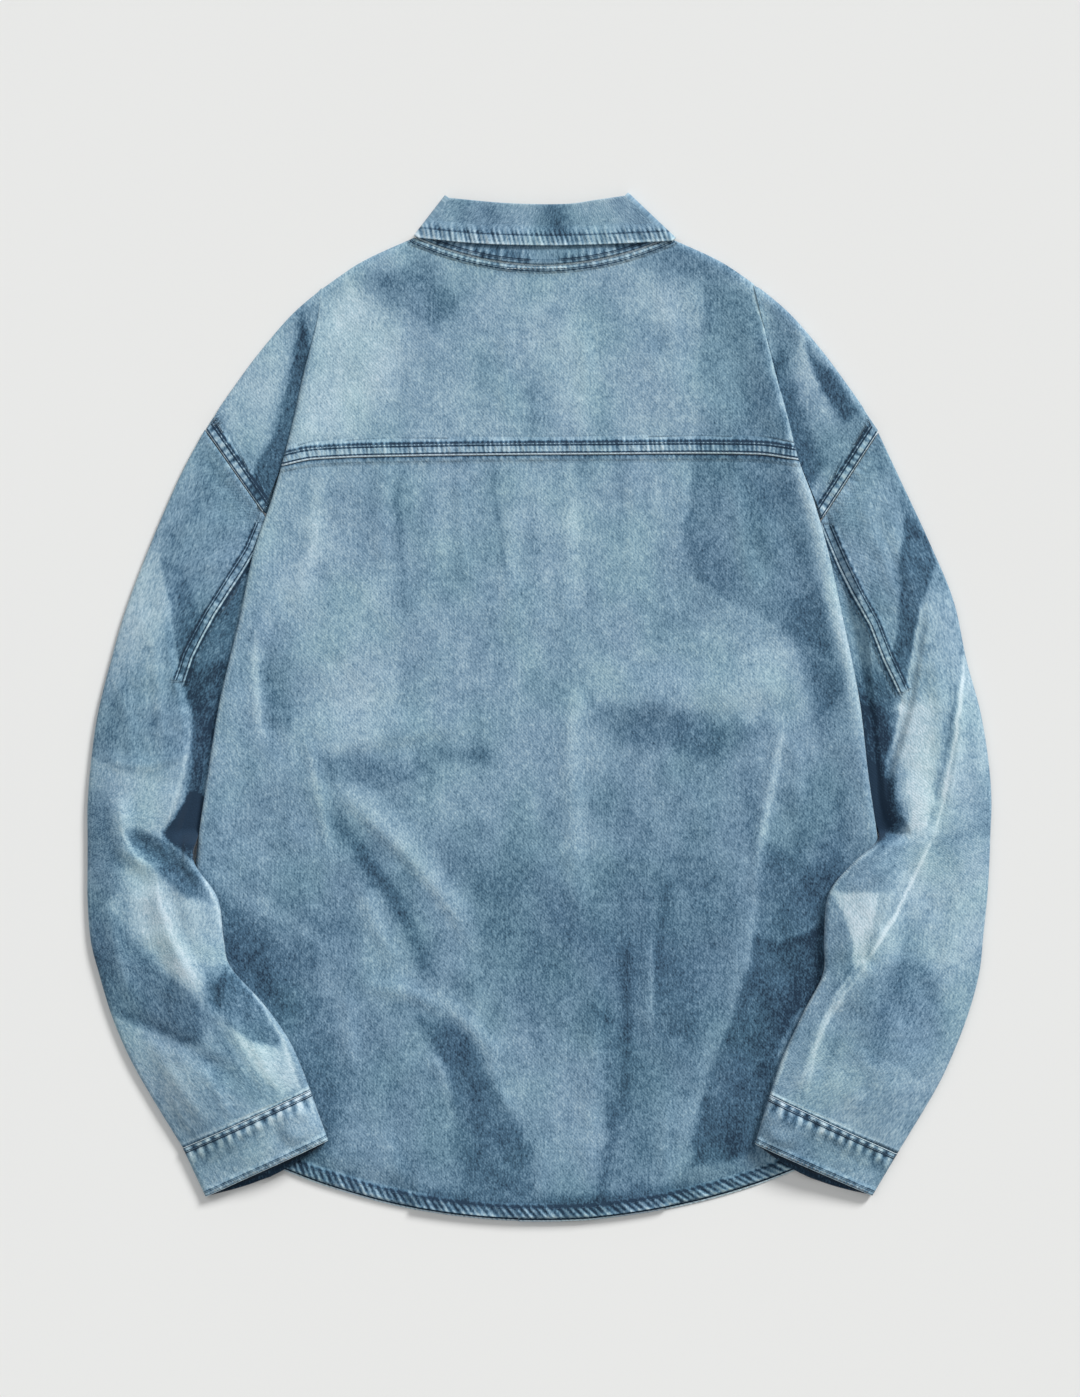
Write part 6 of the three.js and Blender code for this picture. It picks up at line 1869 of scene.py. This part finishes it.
@dataclass
class Sleeve:
    """One sleeve, a flattened tube from the armhole seam to the cuff."""

    ground: Ground
    side: Side
    wash_and_shading: WashAndShading
    underarm: tuple[tuple[float, float], ...]
    sections: int = 270
    upper_steps: int = 96
    lower_steps: int = 16
    outer_end: float = 5.0
    pleat_width: float = 0.035
    band: float = 8.0
    cut_wide: float = 0.4
    cut_long: float = 0.53

    def rows(self) -> dict[str, Array]:
        """Return the section table read at every section."""
        table = SLEEVES[self.side]
        at = np.linspace(0, 1, len(table.rows))
        share = np.linspace(0, 1, self.sections)
        return {name: Curve(at, table.column(name))(share)[:, None] for name in table.columns.split()}

    def height(self, x: Array, y: Array, share: Array, row: dict[str, Array], width: Array) -> Array:
        """Return the height of the tube, with its pleat, creases and tucked inner edge."""
        end = mix(self.outer_end, row["end"], share)
        crown = 1 - np.abs(2 * share - 1) ** 3
        at, soft = row["pleat"], self.pleat_width
        pleat = 1 - row["drop"] * ease(at - soft, at + soft, share)
        seed = 71 if self.side is Side.LEFT else 81
        rumple = 0.7 * ripple_noise(x, y, 44, seed) + 0.5 * ripple_noise(x, y, 20, seed + 1)
        rumple = rumple + 0.36 * ripple_noise(x, y, 10, seed + 2) + 0.12 * ripple_noise(x, y, 6, seed + 3)
        creases = Creases(SLEEVE_CREASES[self.side]).rise(x, y)
        full = end + (row["high"] - end) * crown * pleat + (creases + rumple) * crown
        from_inner = (1 - share) * width
        tucked = TUCKED_SLEEVE + np.maximum(0, from_inner - 14) * 0.9
        held = ease(SLEEVE_LIFT_TO, SLEEVE_LIFT_FROM, y)
        return np.maximum(mix(full, np.minimum(full, tucked), held), TUCKED_SLEEVE)

    def rings(self, inset: float) -> tuple[Array, Array, Array]:
        """Return the rings at a distance inside the outer face, with the place across and the width."""
        row = self.rows()
        share, ply = ring_shares(self.upper_steps, self.lower_steps)
        width = np.hypot(row["ix"] - row["ox"], row["iy"] - row["oy"])
        across = (inset + share[None, :] * (width - 2 * inset)) / width
        x, y = mix(row["ox"], row["ix"], across), mix(row["oy"], row["iy"], across)
        height = self.height(x, y, share[None, :], row, width)
        rise = lie(self.ground, (x, y), share[None, :], ply[None, :], width, height, inset)
        return np.stack([x, y, self.ground(x, y) + rise], 2), np.broadcast_to(across, x.shape), width

    def build(self, finishes: Finishes) -> Object:
        """Build the cloth and its stitches."""
        outer, across, width = self.rings(0)
        inner, _, _ = self.rings(CLOTH)
        _, ply = ring_shares(self.upper_steps, self.lower_steps)
        upper = np.broadcast_to((ply > 0)[None, :], across.shape)
        x, y = outer[..., 0], outer[..., 1]
        line = np.array(self.underarm)
        inner_end, outer_end = ARMHOLES[self.side]["inner"], ARMHOLES[self.side]["outer"]
        arm_x, arm_y = line_between(inner_end[0], inner_end[1], outer_end[0], outer_end[1], 30)
        mouth = SLEEVES[self.side].named()[-1]
        cuff_x, cuff_y = line_between(mouth["ix"], mouth["iy"], mouth["ox"], mouth["oy"], 30)
        sewing = Sewing((
            SeamRun(line[:, 0], line[:, 1], self.band, 0.75, 0.6, self.side.sign, 0, 4.0, 0.7, taper=2.0),
            SeamRun(arm_x, arm_y, 4.0, 0.4, 0.4, -self.side.sign, 0, 8.0, 1.0, False),
            SeamRun(cuff_x, cuff_y, 3.0, 0.0, 0.8, -self.side.sign, 0, 6.0, 0.8, False)))
        outer[..., 2] += np.where(upper, sewing.rise(x, y) * ease(0, 0.06, np.minimum(across, 1 - across)), 0)
        seam, bars = sewing.maps(x, y)
        bars = np.where(upper, bars, 0)
        relief = Creases(SLEEVE_CREASES[self.side]).rise(x, y)
        # Upper ply: the sleeve's fading, with its painted light and shade
        tone = 0.05 * np.clip(relief, -2, 3) + np.where(upper, self.wash_and_shading.tone(x, y), -0.02)
        from_cuff = np.abs(sewing.runs[2].read(x, y)[0])
        tone = tone + 0.34 * np.exp(-((from_cuff - 1.6) / 1.4) ** 2) - 0.3 * np.exp(-(from_cuff / 0.8) ** 2)
        tone = tone + 0.03 * ripple_noise(x, y, 34, 75) + mottle(x, y)
        along = np.linspace(0, self.cut_long, self.sections)[:, None]
        maps = Maps(tube_weave(across, width, upper, along), seam, tone, bars)
        name = f"sleeve_{self.side.value}"
        piece = tube(outer, inner, maps).make(name, finishes.denim)
        gaps = (1.4, self.band - 0.6)
        offset = SeamRun(line[:, 0], line[:, 1], 1, 0, 0).marks
        smooth = np.linspace(0, offset[-1], 120)
        sx, sy = np.interp(smooth, offset, line[:, 0]), np.interp(smooth, offset, line[:, 1])
        nx, ny = -np.gradient(sy), np.gradient(sx)
        size = np.hypot(nx, ny)
        off = self.side.sign / size
        rows = tuple((sx + gap * off * nx, sy + gap * off * ny) for gap in gaps)
        threads = StitchRows(name + "_stitches", finishes.thread, rows).make(piece)
        return piece


@dataclass
class Cuff:
    """One buttoned cuff, its lower ply reaching a little past the upper one at the mouth."""

    ground: Ground
    side: Side
    sections: int = 34
    button_across: float = 0.84
    deep: float = 0.045
    cut_wide: float = 0.23
    cut_long: float = 0.047

    def build(self, finishes: Finishes) -> Object:
        """Build the cloth and its stitches."""
        seam_row = SLEEVES[self.side].named()[-1]
        start = np.array([seam_row[key] for key in ("ox", "oy", "ix", "iy")])
        edge = np.array(CUFF_EDGES[self.side])
        gap = SEAM_GAP / float(np.hypot(*(edge[:2] - start[:2])))
        t = mix(gap, 1, np.linspace(0, 1, self.sections))[:, None]
        ox, oy, ix, iy = (mix(start[i], edge[i], t) for i in range(4))
        share, ply = ring_shares(62, 18)
        width = np.hypot(ix - ox, iy - oy)
        slope_x, slope_y = (iy - oy) / width, (ox - ix) / width
        flip = np.where(slope_y > 0, -1, 1)
        middle = (start + edge) / 2
        button = mix(middle[:2], middle[2:], self.button_across)

        def ring(inset: float) -> Array:
            """Return the rings at a distance inside the outer face."""
            across = (inset + share[None, :] * (width - 2 * inset)) / width
            bow = np.where(ply < 0, CUFF_MOUTH_SHIFT * np.sin(np.pi * share), 0)[None, :]
            shift = bow * (t - gap) / (1 - gap)
            x = mix(ox, ix, across) + slope_x * flip * shift
            y = mix(oy, iy, across) + slope_y * flip * shift
            crown = 1 - np.abs(2 * share[None, :] - 1) ** 3
            seed = 91 if self.side is Side.LEFT else 95
            rumple = 0.45 * ripple_noise(x, y, 22, seed) + 0.25 * ripple_noise(x, y, 9, seed + 1)
            height = mix(6, CUFF_HIGH, crown) + rumple * crown
            near = 1 - ease(7.5, CUFF_BUTTON_REACH, np.hypot(x - button[0], y - button[1]))
            level = self.ground(x, y) + CUFF_BUTTON_LIFT * near
            rise = lie(self.ground, (x, y), share[None, :], ply[None, :], width, height, inset)
            return np.stack([x, y, level + rise], 2)

        outer, inner = ring(0), ring(CLOTH)
        x, y = outer[..., 0], outer[..., 1]
        upper = np.broadcast_to((ply > 0)[None, :], x.shape)
        top_x, top_y = line_between(start[0], start[1], start[2], start[3], 40)
        end_x, end_y = line_between(edge[0], edge[1], edge[2], edge[3], 40)
        toward = 1 if self.side is Side.LEFT else -1
        sewing = Sewing((SeamRun(top_x, top_y, 4.6, 0.3, 1.25, -toward, 0.1, 17.0, 0.42),
                         SeamRun(end_x, end_y, 4.0, 0.2, 0.7, toward, 0.3, 4.0, 0.6)))
        outer[..., 2] += np.where(upper, sewing.rise(x, y), 0)
        seam, bars = sewing.maps(x, y)
        tone = 0.02 + 0.08 * ripple_noise(x, y, 16, 97) + 0.05 * ripple_noise(x, y, 7, 98)
        tone = tone + (0.04 if self.side is Side.LEFT else -0.06)
        # Painted shade: the lower ply is darkened towards the mouth, where its inside shows past the upper ply
        tone = np.where(upper, tone, -0.5 * ease(0.55, 0.8, t))
        across = np.broadcast_to(share[None, :], x.shape)
        maps = Maps(tube_weave(across, width, upper, t * self.deep), seam, tone, bars)
        name = f"cuff_{self.side.value}"
        piece = tube(outer, inner, maps).make(name, finishes.denim)

        def row_at(part: float, first: float = 0.06, last: float = 0.94) -> tuple[Array, Array]:
            """Return a row of stitches at a share of the cuff's depth."""
            ends = mix(start, edge, part)
            span = np.linspace(first, last, 70)
            return mix(ends[0], ends[2], span), mix(ends[1], ends[3], span)

        threads = StitchRows(name + "_stitches", finishes.thread, (row_at(0.09),)).make(piece)
        tan = StitchRows(name + "_mouth_stitches", finishes.tan_thread, (row_at(0.955),)).make(piece)
        return piece


# Studio


@dataclass
class Studio:
    """A plain pale floor, soft light and the camera straight above."""

    floor_half: float = 4.0
    lens: float = 85.0
    sensor: float = 36.0
    frame_tall: float = 1.0897
    look_y: float = 8.2
    key_azimuth: float = 52.0
    key_elevation: float = 29.0
    key_power: float = 3.2
    key_spread: float = 16.0
    fill_azimuth: float = 145.0
    fill_elevation: float = 55.0
    fill_power: float = 0.6
    fill_spread: float = 60.0
    sky: float = 0.36

    def build(self) -> None:
        """Build the floor, the lights, the surroundings and the camera."""
        half = self.floor_half
        floor = joined_up("floor", [(-half, -half, 0), (half, -half, 0), (half, half, 0), (-half, half, 0)], [],
                          [(0, 1, 2, 3)])
        floor.data.materials.append(BackdropFinish().make())
        self.sun("key_light", self.key_azimuth, self.key_elevation, self.key_power, self.key_spread)
        self.sun("fill_light", self.fill_azimuth, self.fill_elevation, self.fill_power, self.fill_spread)
        world = bpy.data.worlds.new("pale_room")
        world.use_nodes = True
        background = world.node_tree.nodes["Background"]
        background.inputs["Color"].default_value = linear("#F2F4F6")
        background.inputs["Strength"].default_value = self.sky
        bpy.context.scene.world = world
        bpy.context.scene.view_settings.view_transform = "Standard"
        camera_data = bpy.data.cameras.new("camera")
        camera_data.lens = self.lens
        camera_data.sensor_fit = "VERTICAL"
        camera_data.sensor_height = self.sensor
        camera = linked("camera", camera_data)
        away = self.frame_tall * self.lens / self.sensor
        camera.location = (SHIFT_X * MM, (self.look_y + SHIFT_Y) * MM, away)
        bpy.context.scene.camera = camera

    def sun(self, name: str, azimuth: float, elevation: float, power: float, spread: float) -> None:
        """Add one soft light that shines from a direction.

        Args:
            name: Name of the light.
            azimuth: Direction it comes from, in degrees from +X towards +Y.
            elevation: Its height over the surface, in degrees.
            power: Its strength.
            spread: Its apparent size, in degrees.
        """
        data = bpy.data.lights.new(name, "SUN")
        data.energy = power
        data.angle = math.radians(spread)
        light = linked(name, data)
        light.rotation_euler = (0, math.radians(90 - elevation), math.radians(azimuth))


# The left sleeve's fading, with painted light and shade: its lit facets and ridges are paler, and the shade
# under its folds and in the notch by the body's folded side is painted darker
LEFT_WASH_AND_SHADING = wash_and_shading_of((
    (-0.1, 7, -262, 206, -212, 150, -222, 126, -250, 80, -277, 20, -286, 60, -296, 120, -276, 160),
    (-0.13, 2, -296, 118, -280, 110, -262, 66, -277, 20, -287, 56),
    (-0.26, 3, -220, 128, -226, 100, -238, 55, -250, 0, -262, -60, -266, -104, -292, -100, -284, -88, -274,
     -62, -270, -30, -272, 0, -278, 19, -262, 50, -245, 85),
    (-0.18, 8, -274, 30, -240, 40, -254, -60, -262, -110, -294, -100, -285, -88, -273, -62, -270, -30),
    (-0.5, 2, -294, -95, -286, -104, -276, -113, -266, -122, -258, -122, -258, -70, -272, -64, -284, -86),
    (-0.1, 6, -348, -36, -320, -46, -298, -50, -273, -30, -271, 10, -285, 60, -300, 60, -330, 20),
    (0.07, 1.6, -352, -37, -335, -42, -320, -48, -298, -52, -285, -44, -271, -32, -269, -48, -275, -66, -294,
     -97, -312, -96, -324, -96, -328, -75, -352, -72),
    (-0.13, 7, -354, -62, -332, -66, -328, -100, -322, -126, -335, -150, -354, -152),
    (-0.2, 3, -323, -95, -314, -93, -294, -99, -280, -112, -267, -126, -258, -142, -259, -148, -272, -146,
     -286, -138, -297, -126, -307, -119, -317, -111),
    (0.13, 2.5, -296, -127, -275, -147, -257, -149, -251, -153, -246, -175, -243, -198, -255, -200, -272,
     -196, -288, -180, -296, -155),
    (0.22, 7, -325, -125, -300, -125, -297, -160, -285, -192, -262, -205, -262, -222, -285, -205, -310, -180),
    (-0.17, 4, -352, -150, -330, -160, -312, -185, -292, -205, -266, -222, -258, -240, -262, -262, -285, -256,
     -310, -246, -336, -237, -350, -200),
    oval(-252, -220, 8, 12, -0.12, 6),
    (-0.2, 2.5, -243, -199, -228, -212, -210, -236, -200, -256, -203, -263, -222, -257, -238, -247, -250,
     -232, -252, -215),
    (0.24, 3, -238, -247, -222, -258, -203, -263, -195, -270, -186, -293, -200, -300, -212, -290, -228, -265),
    (0.07, 2.5, -336, -238, -310, -248, -285, -258, -262, -263, -245, -290, -235, -305, -280, -332, -312, -300),
    oval(-310, 66, 26, 62, 0.14, 16)
), (
    (-264, -128, -244, -152, -243, -202, 0.3, 3, 3, 0.4), (-325, -92, -320, -110, -300, -124, 0.2, 3, 2, 0.4),
    (-299, -124, -295, -160, -266, -208, 0.16, 2, 4, 0.4),
    (-243, -200, -204, -232, -187, -294, 0.3, 3, 3, 0.4), (-297, 124, -288, 76, -277, 16, 0.2, 2, 4, 0.4),
    (-273, 6, -266, -40, -294, -98, 0.22, 2, 4, 0.4), (-258, -236, -240, -268, -222, -300, -0.12, 6, 5, 0.2),
    (-262, -264, -246, -290, -236, -316, -0.08, 5, 5, 0.2), (-312, 100, -322, 40, -330, -20, -0.06, 6, 6, 0),
    (-300, 70, -304, 20, -306, -36, 0.06, 6, 6, 0)))
# The right sleeve's fading, with painted light and shade: its lit facets and the highlights along its crisp
# ridges are paler, and the shaded facets and the shade beside the body's folded side are darker
RIGHT_WASH_AND_SHADING = wash_and_shading_of((
    (-0.04, 6, 220, 142, 262, 206, 276, 182, 286, 130, 302, 98, 297, 60, 284, 20, 262, 50, 240, 95),
    (-0.1, 7, 258, 204, 268, 208, 284, 180, 304, 130, 322, 84, 336, 40, 330, 40, 312, 90, 300, 128, 280, 156,
     264, 180),
    (-0.1, 3, 218, 142, 232, 112, 256, 64, 282, 8, 274, -20, 269, -50, 272, -88, 262, -104, 252, -60, 246, 0,
     236, 55, 224, 100),
    (-0.2, 5, 244, 16, 262, 6, 272, -22, 273, -50, 279, -69, 284, -85, 277, -93, 266, -104, 256, -104, 250,
     -60),
    (-0.26, 5, 252, -34, 266, -44, 273, -60, 279, -74, 283, -88, 266, -106, 256, -106, 250, -60),
    (-0.2, 8, 240, 30, 274, 26, 274, -20, 268, -50, 272, -88, 262, -106, 248, -60),
    (-0.26, 2, 285, 151, 302, 136, 308, 116, 302, 95, 294, 73, 288, 42, 285, 17, 274, 38, 278, 62, 281, 93,
     279, 120),
    (0.09, 1.6, 302, 93, 314, 89, 324, 73, 330, 38, 328, 7, 320, -24, 314, -55, 308, -83, 296, -95, 285, -91,
     288, -79, 281, -67, 274, -48, 275, -24, 283, 7, 289, 38, 294, 69),
    (0.24, 8, 278, 0, 300, 6, 311, -50, 303, -92, 285, -97, 288, -75, 286, -55),
    (-0.1, 3, 276, -30, 284, -50, 290, -75, 286, -92, 281, -68, 274, -48),
    (0.1, 4, 332, 44, 340, 30, 350, -20, 352, -60, 345, -90, 308, -98, 323, -35),
    (-0.13, 6, 335, -50, 352, -46, 352, -98, 340, -90),
    (-0.07, 3, 304, -99, 285, -100, 270, -100, 245, -118, 228, -135, 226, -143, 250, -140, 272, -141, 286,
     -124),
    (0.3, 1.8, 225, -142, 244, -143, 262, -143, 258, -160, 256, -180, 252, -197, 243, -200, 242, -180, 236,
     -160),
    (-0.08, 2.5, 223, -142, 230, -147, 240, -165, 244, -190, 240, -205, 224, -216, 221, -180),
    (0.13, 9, 300, -112, 345, -104, 350, -170, 338, -200, 302, -196, 268, -190, 265, -165),
    (-0.1, 6, 240, -203, 262, -205, 300, -195, 308, -215, 320, -240, 316, -270, 295, -285, 262, -270, 245,
     -240, 228, -225),
    (0.05, 5, 228, -228, 262, -274, 300, -287, 282, -344, 203, -305, 215, -262)
), (
    (331, 42, 323, -35, 306, -98, 0.42, 2.6, 2.4, 0.4), (326, 34, 318, -36, 301, -96, -0.2, 3, 3, 0.4),
    (305, -98, 280, -156, 246, -208, 0.4, 2.6, 2.4, 0.4), (246, -208, 212, -245, 207, -300, 0.3, 3, 3, 0.4),
    (275, -152, 241, -204, 216, -232, -0.14, 3, 3, 0.4), (315, -6, 312, -40, 304, -76, -0.1, 5, 4, 0.2),
    (242, -204, 217, -236, 200, -302, 0.24, 3, 3, 0.4), (272, -99, 238, -120, 223, -146, 0.22, 3, 3, 0.4),
    (223, -206, 196, -240, 180, -300, 0.3, 2.6, 3, 0.4), (298, 86, 282, 0, 270, -44, 0.2, 4, 2, 0.4),
    (336, 30, 342, -20, 346, -60, 0.06, 7, 7, 0)))
LEFT_UNDERARM = ((-211, 150), (-217, 135), (-222, 123), (-229, 111), (-237, 98), (-245, 85), (-253, 72.5),
                 (-262, 56), (-270, 40), (-277, 18.7))
RIGHT_UNDERARM = ((213, 158), (221, 138), (226, 126), (232, 112), (243, 89), (256, 65.5), (267, 38), (280, 11))


def main() -> None:
    """Build the shirt piece by piece, then the studio round it."""
    logging.basicConfig(level=logging.INFO, format="%(message)s")
    bpy.context.scene.unit_settings.system = "METRIC"
    finishes = Finishes()
    body = BodyForm()
    ground = Ground(body)
    BackPanel(body).build(finishes)
    BackYoke(body).build(finishes)
    for side in Side:
        Front(body, side).build(finishes)
    Placket().build(finishes)
    collar = Collar(body)
    collar.stand(finishes)
    collar.leaf(finishes)
    Sleeve(ground, Side.LEFT, LEFT_WASH_AND_SHADING, LEFT_UNDERARM).build(finishes)
    Sleeve(ground, Side.RIGHT, RIGHT_WASH_AND_SHADING, RIGHT_UNDERARM).build(finishes)
    for side in Side:
        Cuff(ground, side).build(finishes)
    for node in sorted(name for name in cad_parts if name.startswith("button")):
        Button(node).build(finishes)
    Studio().build()


if __name__ == "__main__":
    main()
